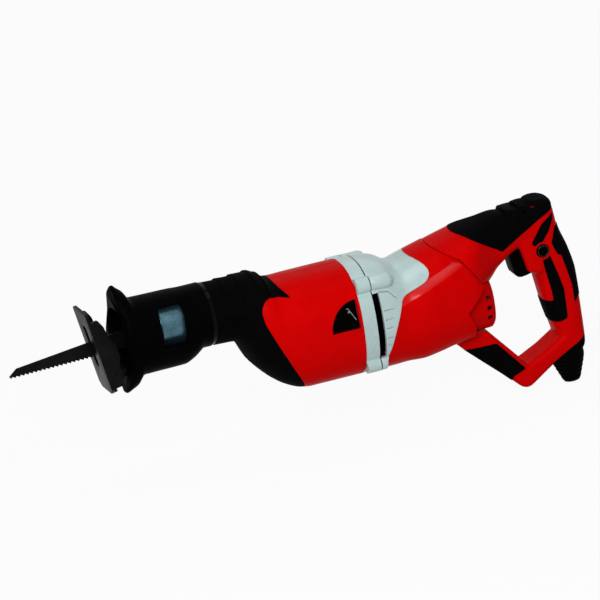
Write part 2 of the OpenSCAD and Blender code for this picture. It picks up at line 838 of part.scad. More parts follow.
module crank_pin() {
    color(steel)
        translate([crank_x, crank_r, crown_top_z - 8])
            cylinder(h = 8 + yoke_top - 1 - crown_top_z, r = roller_r - 2);
}

module crank_roller() {
    color(bronze)
        translate([crank_x, crank_r, crown_top_z + 1])
            difference() {
                cylinder(h = yoke_top - 2 - crown_top_z, r = roller_r);
                translate([0, 0, -1])
                    cylinder(h = 60, r = roller_r - 2 + run_fit / 2);
            }
}

// Two ball bearings of the crank shaft, drawn as closed rings
module crank_bearings() {
    top = crown_face_z - 14;
    color(steel)
        for (z = [case_floor_z + 2, top - crank_bearing_h])
            translate([crank_x, 0, z])
                difference() {
                    cylinder(h = crank_bearing_h, r = crank_bearing_r);
                    translate([0, 0, -1])
                        cylinder(h = crank_bearing_h + 2, r = crank_shaft_r + run_fit);
                }
}

// Bearing sleeve that stands on the gear case floor
module crank_housing() {
    top = crown_face_z - 14;
    color(silver_paint)
        translate([crank_x, 0, case_floor_z])
            difference() {
                union() {
                    cylinder(h = top - case_floor_z, r = crank_bearing_r + 4);
                    cylinder(h = 5, r = crank_bearing_r + 5);
                }
                translate([0, 0, 2])
                    cylinder(h = 100, r = crank_bearing_r + run_fit / 2);
            }
}

// Plate that closes the gear case and holds the front motor bearing
module bearing_plate() {
    inset = skin_t + fit + case_wall + fit;
    color(silver_paint)
        difference() {
            translate([plate_x0, 0, motor_z])
                rotate([90, 0, 90])
                    linear_extrude(plate_t)
                        polygon(outline(body_w / 2 - inset, body_h / 2 - inset, body_round));
            translate([0, 0, motor_z]) {
                rod_x(plate_x0 + 2, plate_x0 + plate_t + 1, motor_bearing_r + run_fit / 2);
                rod_x(plate_x0 - 1, plate_x0 + 3, shaft_r + 2);
            }
            at_screws()
                rod_x(plate_x0 - 1, plate_x0 + plate_t + 1, boss_r + fit);
        }
}

module front_motor_bearing() {
    color(steel)
        translate([0, 0, motor_z])
            tube_x(plate_x0 + 2, plate_x0 + plate_t, shaft_r + run_fit, motor_bearing_r);
}

// Straight pinion whose upper teeth run in the crown gear
module pinion() {
    root_r = pinion_pitch_r - tooth_down;
    tip_r = pinion_pitch_r + tooth_up;
    flank = [[root_r, -1.5], [tip_r, -0.55], [tip_r, 0.55], [root_r, 1.5]];
    teeth = [for (i = [0 : pinion_teeth - 1]) for (p = flank)
        let (a = 90 + 360 * (i + 0.5) / pinion_teeth)
        [p[0] * cos(a) - p[1] * sin(a), p[0] * sin(a) + p[1] * cos(a)]];
    color(steel)
        translate([pinion_x0, 0, motor_z])
            difference() {
                rotate([90, 0, 90])
                    linear_extrude(pinion_len)
                        polygon(teeth);
                rod_x(-1, pinion_len + 1, shaft_r - 1.5 + run_fit / 2);
            }
}

// Armature shaft, stepped down at the pinion and at the rear bearing
module armature_shaft() {
    color(steel)
        translate([0, 0, motor_z]) {
            rod_x(pinion_x0, pinion_x0 + pinion_len + 1, shaft_r - 1.5);
            rod_x(pinion_x0 + pinion_len, rear_bearing_x0 - 1, shaft_r);
            rod_x(rear_bearing_x0 - 2, rear_bearing_x0 + rear_bearing_len, rear_shaft_r);
        }
}

// Cooling fan behind the clamp ring, blades facing forward
module fan() {
    blades = 10;
    fan_r = body_w / 2 - 11;
    color(soft_black)
        translate([0, 0, motor_z])
            difference() {
                union() {
                    rod_x(fan_x0, fan_x0 + fan_len, shaft_r + 5);
                    rod_x(fan_x0 + fan_len - 2, fan_x0 + fan_len, fan_r);
                    for (i = [0 : blades - 1])
                        rotate([360 * i / blades, 0, 0])
                            translate([fan_x0, -1, shaft_r + 3])
                                cube([fan_len - 1, 2, fan_r - shaft_r - 4]);
                }
                rod_x(fan_x0 - 1, fan_x0 + fan_len + 1, shaft_r + run_fit / 2);
            }
}

// Laminated core with slots
module armature_core() {
    slots = 12;
    color(dark_steel)
        translate([0, 0, motor_z])
            difference() {
                rod_x(core_x0, core_x1, core_r);
                rod_x(core_x0 - 1, core_x1 + 1, shaft_r + run_fit / 2);
                for (i = [0 : slots - 1])
                    rotate([360 * i / slots, 0, 0])
                        translate([core_x0 - 1, -1, core_r - 5])
                            cube([core_len + 2, 2, 6]);
            }
}

// Copper end turns at both ends of the core
module armature_winding() {
    end_len = 8;
    color(copper)
        translate([0, 0, motor_z])
            for (x = [core_x0 - end_len, core_x1])
                tube_x(x, x + end_len, shaft_r + run_fit / 2, core_r - 3);
}

module commutator() {
    color(copper)
        translate([0, 0, motor_z])
            tube_x(commutator_x0, commutator_x0 + commutator_len, shaft_r + run_fit / 2, commutator_r);
}

module rear_motor_bearing() {
    color(steel)
        translate([0, 0, motor_z])
            tube_x(rear_bearing_x0, rear_bearing_x0 + rear_bearing_len, rear_shaft_r + run_fit, rear_bearing_r);
}

module field_core() {
    color(dark_steel)
        translate([0, 0, motor_z])
            tube_x(core_x0, core_x1, core_r + 0.5, stator_r);
}

module field_winding() {
    end_len = 7;
    color(copper)
        translate([0, 0, motor_z])
            for (x = [core_x0 - end_len, core_x1])
                tube_x(x, x + end_len, core_r + 1, stator_r - 4);
}

module brush_holders() {
    wall = 1.5;
    color(bronze)
        for (side = [-1, 1])
            translate([brush_x, 0, motor_z])
                rotate([0, 0, side < 0 ? 180 : 0])
                    translate([0, commutator_r + 3, 0])
                        difference() {
                            translate([-brush_w / 2 - wall, 0, -brush_t / 2 - wall])
                                cube([brush_w + 2 * wall, brush_reach - commutator_r - 3, brush_t + 2 * wall]);
                            translate([-brush_w / 2, -1, -brush_t / 2])
                                cube([brush_w, brush_reach - commutator_r - 3, brush_t]);
                        }
}

module carbon_brushes() {
    brush_len = 11;
    color(dark_steel)
        for (side = [-1, 1])
            translate([brush_x, 0, motor_z])
                rotate([0, 0, side < 0 ? 180 : 0])
                    translate([-brush_w / 2 + 0.1, commutator_r + 0.3, 0.1 - brush_t / 2])
                        cube([brush_w - 0.2, brush_len, brush_t - 0.2]);
}

module brush_springs() {
    start = commutator_r + 0.3 + 11 + 0.1;
    color(steel)
        for (side = [-1, 1])
            translate([brush_x, 0, motor_z])
                rotate([0, 0, side < 0 ? 180 : 0])
                    translate([0, start, 0])
                        rotate([-90, 0, 0])
                            coil_spring(2.2, 0.4, brush_reach - 1 - start - 0.1, 4);
}

// Side outline of the silver shell behind the seam, grown by off
module silver_outline(off) {
    edge = [
        [6, -120], [6, -82], [7.1, -73.2], [11.6, -62.8], [17.4, -47], [24.2, -30.4], [29.5, -17.5],
        [50.7, -9.8], [58.3, -5.8], [61.4, -1], [60, 4.4], [54, 9.4], [46, 12], [46, 60]
    ];
    rotate([90, 0, 0])
        linear_extrude(3 * body_w, center = true)
            offset(delta = off)
                polygon(concat(
                    [[seam_x - 5, 60], [seam_x - 5, -120]],
                    [for (p = edge) [seam_x + p[0], p[1]]]
                ));
}

// Silver shell behind the clamp ring, with air slots at both sides
module motor_ring() {
    $fn = boss_fn;
    wall = barrel_wall + 1;
    slot_z = boss_z - boss_r + 1;
    color(silver_paint)
        difference() {
            union() {
                intersection() {
                    difference() {
                        loft(body_line, seam_x + fit, seam_x + 70, 0);
                        loft(body_line, seam_x - 1, seam_x + 71, -wall);
                    }
                    silver_outline(0);
                }
                at_screws() {
                    rod_x(seam_x + fit, seam_x + boss_len - boss_r, boss_r);
                    translate([seam_x + boss_len - boss_r, 0, 0])
                        sphere(r = boss_r);
                }
            }
            for (side = [-1, 1])
                translate([seam_x, side * body_w / 2 - 20, motor_z - slot_z])
                    cube([air_slot_w + fit, 40, 2 * slot_z]);
            at_screws()
                rod_x(seam_x - 1, seam_x + boss_len - boss_r, screw_r + fit);
        }
}

// Four screws that clamp the motor to the gear case
module housing_screws() {
    color(steel)
        at_screws() {
            rod_x(ring_x0 + 4, seam_x + boss_len - boss_r - 1, screw_r);
            difference() {
                rod_x(ring_x0 + fit, ring_x0 + 4, 2 * screw_r - fit);
                translate([ring_x0, 0, 0])
                    rotate([0, 90, 0])
                        cylinder(h = 2.5, r = screw_r, $fn = 6);
            }
        }
}

// Side outline of the barrel's rear edge, everything behind it
module behind_barrel(off) {
    edge = [[-17, 60], [-17, 19], [0, 3.6], [10, -10.8], [20, -27], [9, -37], [-1, -47], [6, -62], [9, -90], [9, -120]];
    rotate([90, 0, 0])
        linear_extrude(3 * body_w, center = true)
            offset(delta = off)
                polygon(concat([[hx + 90, -120], [hx + 90, 60]], [for (p = edge) [hx + p[0], p[1]]]));
}

// Barrel's outer shape as one solid, grown by off
module barrel_solid(off) {
    difference() {
        loft(body_line, seam_x + air_slot_w, hx + 23, off);
        behind_barrel(-off);
    }
}

// Red motor barrel, with ribs that seat the field core
module motor_barrel() {
    $fn = mesh_fn;
    rib_half = 5;
    color(shell_red)
        difference() {
            union() {
                difference() {
                    barrel_solid(0);
                    loft(body_line, seam_x, rear_x - 5, -barrel_wall);
                }
                difference() {
                    intersection() {
                        loft(body_line, core_x0 + 4, core_x1, -barrel_wall / 2);
                        for (a = [90, 180, 270])
                            translate([core_x0, 0, motor_z])
                                rotate([a, 0, 0])
                                    translate([0, -rib_half, 0])
                                        cube([core_len, 2 * rib_half, body_h]);
                    }
                    translate([0, 0, motor_z])
                        rod_x(core_x0 - 1, core_x1 + 1, stator_r + 2 * fit);
                }
            }
            silver_outline(fit);
            at_screws() {
                rod_x(seam_x, seam_x + boss_len - boss_r, boss_r + fit);
                translate([seam_x + boss_len - boss_r, 0, 0])
                    sphere(r = boss_r + fit);
            }
        }
}

// Slotted cover of the motor's rear end, with the rear bearing's seat
module rear_vent_cover() {
    $fn = mesh_fn;
    outer = -barrel_wall - fit;
    inner = outer - barrel_wall;
    cup_len = rear_x - rear_bearing_x0;
    color(shell_red)
        difference() {
            union() {
                difference() {
                    loft(body_line, barrel_x1 - 12, rear_x, outer);
                    loft(body_line, barrel_x1 - 13, rear_x - barrel_wall, inner);
                }
                intersection() {
                    loft(body_line, barrel_x1 - 12, rear_x, outer);
                    translate([0, 0, motor_z])
                        rod_x(rear_bearing_x0 - 1, rear_x, rear_bearing_r + 3);
                }
            }
            translate([0, 0, motor_z])
                rod_x(rear_bearing_x0 - 2, rear_bearing_x0 + rear_bearing_len + 0.5, rear_bearing_r + fit);
            for (i = [0 : 2])
                for (side = [-1, 1])
                    translate([rear_x - 13, side * (barrel_half - 18) - 12, motor_z - 14 - 10 * i])
                        cube([10, 24, 5]);
        }
}

// Ring of points across Z at one grip station, grown by off
function grip_ring(i, off) =
    let (
        s = grip_line[i],
        z = s[0] + (i == 0 ? off : i == len(grip_line) - 1 ? -off : 0),
        flat = outline((s[2] - s[1]) / 2 + off, s[3] + off, 2.8)
    )
    [for (p = flat) [(s[1] + s[2]) / 2 + p[0], p[1], z]];

// Round disc across Y with chamfered rims
module puck(s, off) {
    rim = 4;
    r = s[2] + off;
    w = s[3] + off;
    rod_y(s[0], s[1], rim - w, w - rim, r, $fn = hull_fn);
    rod_y(s[0], s[1], -w, w, r - rim, $fn = hull_fn);
}

// Whole D-handle as one solid, grown by off
module handle_body(off) {
    loft(arm_line, hx - 26, grip_rear - 38, off);
    for (i = [0 : len(grip_line) - 2])
        span(grip_ring(i, off), grip_ring(i + 1, off));
    for (i = [0 : len(leg_line) - 2])
        hull() {
            puck(leg_line[i], off);
            puck(leg_line[i + 1], off);
        }
    hull()
        for (s = shroud_line)
            puck(s, off);
}

module pad_prism(points, off) {
    rotate([90, 0, 0])
        linear_extrude(3 * grip_w, center = true)
            offset(delta = off)
                polygon(points);
}

// Soft skin let into the handle inside an outline
module pad(points) {
    intersection() {
        difference() {
            handle_body(pad_proud);
            handle_body(fit - pad_t);
        }
        pad_prism(points, 0);
    }
}

// Side outline of the trigger at a swing angle, in the XZ plane
module trigger_outline(swing) {
    points = [
        [-6, -15], [-5.5, 2], [2, 6], [9, -1], [16, -34],
        [11, -35.5], [4.5, -36.5], [-1, -31.5], [-4.5, -22]
    ];
    translate(trigger_pivot)
        rotate(swing)
            polygon(points);
}

// Outline of the boot, radius against height down from its top
function boot_outline(off) = [
    [0, 1], [boot_neck_r + off, 1], [boot_neck_r + off, -5], [boot_top_r + off, -8],
    [boot_top_r + off, -boot_straight], [boot_end_r + off, boot_z1 - boot_z0], [0, boot_z1 - boot_z0]
];

module boot_frame() {
    translate([boot_x, 0, boot_z0])
        rotate([0, -boot_lean, 0])
            children();
}

// One moulded half of the handle, side is -1 or 1
module handle_shell(side) {
    $fn = mesh_fn;
    color(shell_red)
        intersection() {
            difference() {
                union() {
                    difference() {
                        union() {
                            difference() {
                                handle_body(0);
                                for (edge = [top_pad_edge, stripe_edge, palm_edge, rear_pad_edge, leg_pad_edge])
                                    pad_prism(edge, fit);
                            }
                            handle_body(-pad_t);
                        }
                        handle_body(-handle_wall);
                    }
                    intersection() {
                        handle_body(-handle_wall / 2);
                        union() {
                            for (p = handle_screw_places)
                                rod_y(p[0], p[1], -grip_w, grip_w, 4.5);
                            for (s = [-1, 1])
                                translate([switch_x0 + 2, s * (switch_half + 2 * fit + 20) - 20, switch_z0 + 4])
                                    cube([switch_len - 4, 40, switch_h - 14]);
                        }
                    }
                    if (side < 0)
                        rod_y(button_at[0], button_at[1], button_y + 0.8, button_rim_y - slide_gap, button_boss_r);
                }
                barrel_solid(fit);
                loft(body_line, seam_x, rear_x + 1, -barrel_wall);
                rotate([90, 0, 0])
                    linear_extrude(trigger_w + 1, center = true)
                        offset(delta = slide_gap + 0.2)
                            for (k = [0, 0.5, 1])
                                trigger_outline(k * trigger_swing);
                rod_y(trigger_pivot[0], trigger_pivot[1], -pin_reach - fit, pin_reach + fit, trigger_pin_r + fit);
                translate([spring_x0 - 4, 0, spring_z])
                    rotate([0, 90, 0])
                        cylinder(h = 20, r = spring_r + 1);
                rod_y(button_at[0], button_at[1], button_y - 4, 0, button_r + slide_gap);
                rod_y(button_at[0], button_at[1], button_rim_y - slide_gap, 0, button_r + 1.2 + slide_gap);
                boot_frame()
                    rotate_extrude()
                        polygon(boot_outline(fit));
                pad_prism(boot_cap_edge, fit);
                for (p = handle_screw_places) {
                    rod_y(p[0], p[1], handle_screw_y0 - 1, handle_screw_y1, 1.6 + fit);
                    rod_y(p[0], p[1], handle_screw_y1 - 3, 3 * grip_w, 3.5 + fit);
                }
            }
            half(side);
        }
}

module handle_left() {
    handle_shell(-1);
}

module handle_right() {
    handle_shell(1);
}

module handle_screws() {
    color(steel)
        for (p = handle_screw_places) {
            rod_y(p[0], p[1], handle_screw_y0, handle_screw_y1 - 2, 1.6);
            difference() {
                rod_y(p[0], p[1], handle_screw_y1 - 3 + fit, handle_screw_y1, 3.5);
                rod_y(p[0], p[1], handle_screw_y1 - 1.5, handle_screw_y1 + 1, 1.7, $fn = 6);
            }
        }
}

module top_pad() {
    $fn = mesh_fn;
    color(soft_black)
        difference() {
            pad(top_pad_edge);
            rod_y(handle_screw_places[0][0], handle_screw_places[0][1], 0, grip_w, 3.5 + fit);
        }
}

module grip_pads(side) {
    color(soft_black)
        intersection() {
            difference() {
                union() {
                    pad(stripe_edge);
                    pad(palm_edge);
                }
                if (side < 0)
                    rod_y(button_at[0], button_at[1], -grip_w, 0, button_boss_r + fit);
            }
            half(side);
        }
}

module left_grip_pads() {
    grip_pads(-1);
}

module right_grip_pads() {
    grip_pads(1);
}

module rear_pad() {
    color(soft_black)
        pad(rear_pad_edge);
}

module leg_pad() {
    $fn = mesh_fn;
    color(soft_black)
        difference() {
            pad(leg_pad_edge);
            barrel_solid(fit);
            rod_y(handle_screw_places[4][0], handle_screw_places[4][1], 0, grip_w, 3.5 + fit);
        }
}

module trigger() {
    color(soft_black)
        difference() {
            rotate([90, 0, 0])
                linear_extrude(trigger_w, center = true)
                    trigger_outline(0);
            rod_y(trigger_pivot[0], trigger_pivot[1], -trigger_w, trigger_w, trigger_pin_r + run_fit);
        }
}

module trigger_pin() {
    color(steel)
        rod_y(trigger_pivot[0], trigger_pivot[1], -pin_reach, pin_reach, trigger_pin_r);
}

// Switch inside the grip
module switch_box() {
    color(soft_black)
        translate([switch_x0, -switch_half, switch_z0])
            cube([switch_len, 2 * switch_half, switch_h]);
}

module trigger_spring() {
    color(steel)
        translate([spring_x0, 0, spring_z])
            rotate([0, 90, 0])
                coil_spring(spring_r, 0.5, switch_x0 - spring_x0 - 0.1, 4);
}

// Lock button with a rim that keeps it in the handle
module lock_button() {
    color(soft_black) {
        rod_y(button_at[0], button_at[1], button_y, button_y + button_len, button_r);
        rod_y(button_at[0], button_at[1], button_rim_y, button_rim_y + 1.5, button_r + 1.2);
    }
}

module lock_spring() {
    color(steel)
        translate([button_at[0], button_y + button_len + 0.1, button_at[1]])
            rotate([-90, 0, 0])
                coil_spring(2.5, 0.35, -switch_half - button_y - button_len - 0.2, 2);
}

// Ribbed strain-relief boot under the grip
module cord_boot() {
    ribs = 5;
    pitch = 4.6;
    color(soft_black)
        boot_frame()
            difference() {
                rotate_extrude()
                    polygon(boot_outline(0));
                translate([0, 0, boot_z1 - boot_z0 - 1])
                    cylinder(h = boot_z0 - boot_z1 + 4, r = cord_r);
                for (i = [0 : ribs - 1]) {
                    z = -15 - i * pitch;
                    r = lookup(z, [[boot_z1 - boot_z0, boot_end_r], [-boot_straight, boot_top_r]]);
                    translate([0, 0, z])
                        rotate_extrude()
                            translate([r - 1, 0])
                                square([5, 1.4]);
                }
            }
}

module boot_cap() {
    $fn = mesh_fn;
    color(soft_black)
        difference() {
            intersection() {
                handle_body(0);
                pad_prism(boot_cap_edge, 0);
            }
            boot_frame() {
                rotate_extrude()
                    polygon(boot_outline(fit));
                cylinder(h = grip_w, r = boot_neck_r + fit);
            }
        }
}

saw_blade();
blade_clamp();
clamp_pin();
clamp_sleeve();
clamp_retainer();
plunger();
shoe_plate();
shoe_pivot_pin();
shoe_guide_bar();
nose_collar();
nose_ring();
plunger_seal();
front_bush();
rear_bush();
plunger_guide();
front_grip();
front_cover_left();
front_cover_right();
selector_plate();
selector_lever();
gear_case();
crank_gear();
crank_pin();
crank_roller();
crank_bearings();
crank_housing();
bearing_plate();
front_motor_bearing();
pinion();
armature_shaft();
fan();
armature_core();
armature_winding();
commutator();
rear_motor_bearing();
field_core();
field_winding();
brush_holders();
carbon_brushes();
brush_springs();
motor_ring();
housing_screws();
motor_barrel();
rear_vent_cover();
handle_left();
handle_right();
handle_screws();
top_pad();
left_grip_pads();
right_grip_pads();
rear_pad();
leg_pad();
trigger();
trigger_pin();
trigger_spring();
switch_box();
lock_button();
lock_spring();
cord_boot();
boot_cap();
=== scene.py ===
"""Reciprocating saw with a D-handle: smooth shells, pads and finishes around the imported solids."""
import bisect
import math

import bmesh
import bpy
from mathutils import Matrix, Vector


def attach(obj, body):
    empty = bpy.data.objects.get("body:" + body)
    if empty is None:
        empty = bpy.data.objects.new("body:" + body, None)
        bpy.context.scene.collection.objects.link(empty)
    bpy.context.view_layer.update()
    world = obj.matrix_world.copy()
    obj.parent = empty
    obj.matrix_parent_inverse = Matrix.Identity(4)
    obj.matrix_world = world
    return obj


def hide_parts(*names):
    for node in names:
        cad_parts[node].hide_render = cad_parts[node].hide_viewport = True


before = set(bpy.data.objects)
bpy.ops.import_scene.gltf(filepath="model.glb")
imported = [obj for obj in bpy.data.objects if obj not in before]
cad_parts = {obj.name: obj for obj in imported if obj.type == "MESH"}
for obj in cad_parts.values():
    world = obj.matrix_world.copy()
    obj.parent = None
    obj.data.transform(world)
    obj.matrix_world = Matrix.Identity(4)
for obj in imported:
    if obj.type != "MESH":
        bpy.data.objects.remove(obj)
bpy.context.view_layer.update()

MM = 0.001

# Places along the tool in millimetres, as in the part's source
NOSE_R = 30.5
GUARD_X = 26
COLLAR_X1 = 112
GRIP_X0 = 116
SWELL_X0 = 136
SWELL_LEN = 64
COVER_X0 = 200
RING_X0 = 250
SEAM_X = 263
SHOULDER_X = 300
BARREL_X1 = 355
REAR_X = 387
GRIP_REAR = 476
MOTOR_Z = -36
COVER_TOP = 18
COVER_BOTTOM = -90
BARREL_TOP = 6.5
BARREL_BOTTOM = -89
BODY_HALF = 50
BARREL_HALF = 46
BODY_ROUND = 2.4
GRIP_HALF = 18
GRIP_ROUND = 2.8
SKIN_T = 4
BARREL_WALL = 3
FIT = 0.25
PAD_T = 2
PAD_PROUD = 0.6
BOSS_R = 7.5
BOSS_Y = BODY_HALF - 14
BOSS_Z = 37
BOSS_OUT = 1.8
AROUND = 96
PANEL_AROUND = 240
STATION_STEP = 2.5
PARTING = 0.12
SEAM_GAP = 1.2
RING_T = 1.2
GUARD_LEN = 18

# Corners that count as one, the reach of cutting tools and the angle of a hard edge
MERGE = 1e-6
SLIVER = 0.02
OVER = 2
THROUGH = 80
HARD_EDGE = 32


def mix(a, b, t):
    return a + (b - a) * t


def ease(t):
    t = max(0.0, min(1.0, t))
    return t * t * (3 - 2 * t)


def swell(t):
    return math.sin(math.pi / 2 * t) ** 0.8


# Stations of the body: x, top, bottom, half width, roundness
BODY_LINE = [(GRIP_X0, NOSE_R, -NOSE_R, NOSE_R, 2)] + [
    (SWELL_X0 + t * SWELL_LEN,
     mix(NOSE_R, COVER_TOP, ease((t - 0.41) / 0.3)),
     mix(-NOSE_R - 1.2, COVER_BOTTOM, swell(t)),
     mix(NOSE_R, BODY_HALF, swell(t)),
     mix(2, BODY_ROUND, t))
    for t in (0, 0.2, 0.4, 0.5, 0.65, 0.85, 1)
] + [
    (SEAM_X, COVER_TOP, COVER_BOTTOM, BODY_HALF, BODY_ROUND),
    (SEAM_X + 20, COVER_TOP - 3, COVER_BOTTOM, BODY_HALF - 1, BODY_ROUND),
    (SHOULDER_X, BARREL_TOP, BARREL_BOTTOM, BARREL_HALF + 1, BODY_ROUND),
    (SHOULDER_X + 12, BARREL_TOP + 3, BARREL_BOTTOM + 0.6, BARREL_HALF + 1, BODY_ROUND),
    (SHOULDER_X + 31, BARREL_TOP + 8.2, BARREL_BOTTOM + 3, BARREL_HALF, BODY_ROUND),
    (BARREL_X1 - 15, BARREL_TOP + 10.2, BARREL_BOTTOM + 4.6, BARREL_HALF - 0.7, BODY_ROUND),
    (BARREL_X1, BARREL_TOP + 8, BARREL_BOTTOM + 6.4, BARREL_HALF - 2, BODY_ROUND),
    (BARREL_X1 + 8, BARREL_TOP + 3, BARREL_BOTTOM + 6.8, BARREL_HALF - 3, BODY_ROUND),
    (REAR_X - 10, MOTOR_Z + 28, MOTOR_Z - 47.5, BARREL_HALF - 8, BODY_ROUND),
    (REAR_X - 2, MOTOR_Z + 19, MOTOR_Z - 47.5, BARREL_HALF - 12, BODY_ROUND),
    (REAR_X, MOTOR_Z + 16, MOTOR_Z - 45.5, BARREL_HALF - 15, BODY_ROUND),
]

# Stations of the collar, from the guard's face to the metal ring
EAR = 18.5
CHANNEL_BOTTOM = -41.9
CHANNEL_FLOOR = -37.9
CHANNEL_HALF = 10.4
COLLAR_LINE = [
    (GUARD_X, NOSE_R + EAR - 2.6, CHANNEL_BOTTOM - EAR + 5, 31.5, 1.6),
    (GUARD_X + 1.2, NOSE_R + EAR - 0.6, CHANNEL_BOTTOM - EAR + 3.5, 31.5, 1.6),
    (GUARD_X + 2.6, NOSE_R + EAR, CHANNEL_BOTTOM - EAR + 3, 31.5, 1.6),
    (GUARD_X + 4, NOSE_R + EAR - 0.8, CHANNEL_BOTTOM - EAR + 3.6, 31.5, 1.65),
    (GUARD_X + 6, NOSE_R + EAR - 3, CHANNEL_BOTTOM - EAR + 5, 31.5, 1.7),
    (GUARD_X + 11, NOSE_R + 0.6 * EAR, CHANNEL_BOTTOM - 0.55 * EAR, 31, 1.9),
    (GUARD_X + GUARD_LEN, NOSE_R + 1.5, CHANNEL_BOTTOM, NOSE_R + 1, 2.2),
    (COLLAR_X1 - 28, NOSE_R + 0.5, CHANNEL_BOTTOM + 0.5, NOSE_R + 0.5, 2.2),
    (COLLAR_X1 - 18, NOSE_R, CHANNEL_BOTTOM + 4, NOSE_R, 2.1),
    (COLLAR_X1 - 8, NOSE_R, -NOSE_R, NOSE_R, 2),
]

# Stations of the handle's upper arm along X: x, top, bottom, half width, roundness
ARM_LINE = [
    (BARREL_X1 - 26, BARREL_TOP + 6, -60, BARREL_HALF - 2, 2.4),
    (BARREL_X1 - 6, 18, -60, BARREL_HALF - 2, 2.4),
    (BARREL_X1 + 7, 21.3, -52, BARREL_HALF - 3.5, 2.4),
    (BARREL_X1 + 17, 23.8, -43, BARREL_HALF - 8, 2.5),
    (BARREL_X1 + 27, 25.6, -37.5, GRIP_HALF + 13, 2.6),
    (BARREL_X1 + 35, 26.8, -32, GRIP_HALF + 7.5, 2.7),
    (BARREL_X1 + 43.6, 28.4, -23.5, GRIP_HALF + 3.5, 2.8),
    (BARREL_X1 + 50, 28.9, -19, GRIP_HALF + 2.6, 2.8),
    (BARREL_X1 + 59, 27.8, -13, GRIP_HALF + 1.8, 2.8),
    (BARREL_X1 + 72, 28.7, -8.2, GRIP_HALF + 0.8, 2.8),
    (BARREL_X1 + 84.5, 29.7, -8, GRIP_HALF + 0.5, 2.8),
    (GRIP_REAR - 30, 30.2, -8, GRIP_HALF + 0.5, 2.8),
]

# Steps on top of the handle: x of the riser, height of its foot and of its crest
TOP_STEPS = [
    (BARREL_X1 + 59, 27.8, 30.6), (BARREL_X1 + 72, 28.8, 31.8),
    (BARREL_X1 + 84.5, 29.8, 33.5), (GRIP_REAR - 29, 32.7, 33),
]
# Slots under the crests of the steps: x, z
TOP_SLOTS = ((420.4, 23.4), (431.1, 26.8), (439.5, 29.6))

# Stations of the grip along Z: z, front, rear, half width
GRIP_LINE = [
    (33.5, GRIP_REAR - 37, GRIP_REAR - 22, GRIP_HALF - 6),
    (31.5, GRIP_REAR - 39, GRIP_REAR - 17, GRIP_HALF - 2.5),
    (25, GRIP_REAR - 46, GRIP_REAR - 14.7, GRIP_HALF),
    (4, GRIP_REAR - 48, GRIP_REAR - 12, GRIP_HALF + 0.5),
    (-20, GRIP_REAR - 43, GRIP_REAR - 4.8, GRIP_HALF + 0.5),
    (-43, GRIP_REAR - 39.5, GRIP_REAR - 0.5, GRIP_HALF),
    (-70, GRIP_REAR - 35, GRIP_REAR + 0.1, GRIP_HALF),
    (-98, GRIP_REAR - 28.5, GRIP_REAR + 0.1, GRIP_HALF),
    (-114, GRIP_REAR - 25, GRIP_REAR - 0.5, GRIP_HALF - 0.5),
    (-121, GRIP_REAR - 22, GRIP_REAR - 5, GRIP_HALF - 2.5),
]

# The leg under the barrel and its return to the grip: x, z, radius, half width
LEG_LINE = [
    (BARREL_X1 + 3, -75, 14.2, GRIP_HALF + 2),
    (BARREL_X1 + 18, -91.2, 13, GRIP_HALF + 0.5),
    (BARREL_X1 + 42, -117, 11, GRIP_HALF),
    (BARREL_X1 + 56.5, -133.6, 9.8, GRIP_HALF - 0.5),
    (GRIP_REAR - 38, -118.8, 7.7, GRIP_HALF - 0.5),
    (GRIP_REAR - 15, -106.2, 8.8, GRIP_HALF - 0.5),
]

# Shroud beside the trigger: x, z, radius, half width
SHROUD_LINE = [
    (GRIP_REAR - 50.5, -2.5, 4, GRIP_HALF), (GRIP_REAR - 45.2, -29.5, 4, GRIP_HALF),
    (GRIP_REAR - 38, -32, 5, GRIP_HALF), (GRIP_REAR - 36, 0, 9, GRIP_HALF),
]

# Upper and lower edge of the barrel's chamfer: slope along X, height at X 0
CHAMFER = ((0.33, -112.5), (0.355, -127.7))
# Softness of the edges of the painted highlight on the chamfer, and the strength of its coat
CHAMFER_FADE = 0.3
CHAMFER_HIGHLIGHT_COAT = 0.5

# Grooves on the sides of the motor shell: x of the rear end, z. The bent one lies under the upper boss
GROOVES = ((282.5, -23), (280.5, -32), (279, -40.3), (277.5, -50), (275.5, -57.5))
GROOVE_HALF = 0.5
BENT_GROOVE = [(271, -4.9), (280.3, -6.5), (286.9, -14.6), (286.1, -15.2), (279.9, -7.4), (271, -5.8)]

# Side outlines, x and z
GRIP_EDGE = [(GRIP_X0 - 20, -120), (GRIP_X0 - 20, 60)] + [
    (SWELL_X0 + t * SWELL_LEN, z) for t, z in (
        (0.69, 60), (0.69, 17.5), (0.827, 6.7), (0.68, 9.2), (0.515, 11.4), (0.45, 10.8), (0.394, 8.5),
        (0.35, 4), (0.33, 0), (0.353, -11.4), (0.5, -34.6), (0.69, -61), (0.867, -82.4), (1, -120))
]
SILVER_EDGE = [(SEAM_X - 5, 60), (SEAM_X - 5, -120)] + [
    (SEAM_X + x, z) for x, z in (
        (6, -120), (6, -82), (7.1, -73.2), (11.6, -62.8), (17.4, -47), (24.2, -30.4), (28.5, -19.5), (30.5, -16.8),
        (34, -15), (50.7, -9.8), (55.5, -7.8), (59, -5), (61.2, -1.5), (61.2, 1.5), (60, 4.4), (57.5, 7.2),
        (54, 9.4), (46, 12), (46, 60))
]
BEHIND_EDGE = [(BARREL_X1 + 90, -120), (BARREL_X1 + 90, 60)] + [
    (BARREL_X1 + x, z) for x, z in (
        (-30, 60), (-30, 21), (0, 3.9), (10, -10.8), (20, -27), (9, -37), (-1, -47), (6, -62), (9, -90), (9, -120))
]
BARREL_SEAM = [(BARREL_X1 - 60, 60)] + BEHIND_EDGE[2:7] + [(BARREL_X1 - 60, -27)]
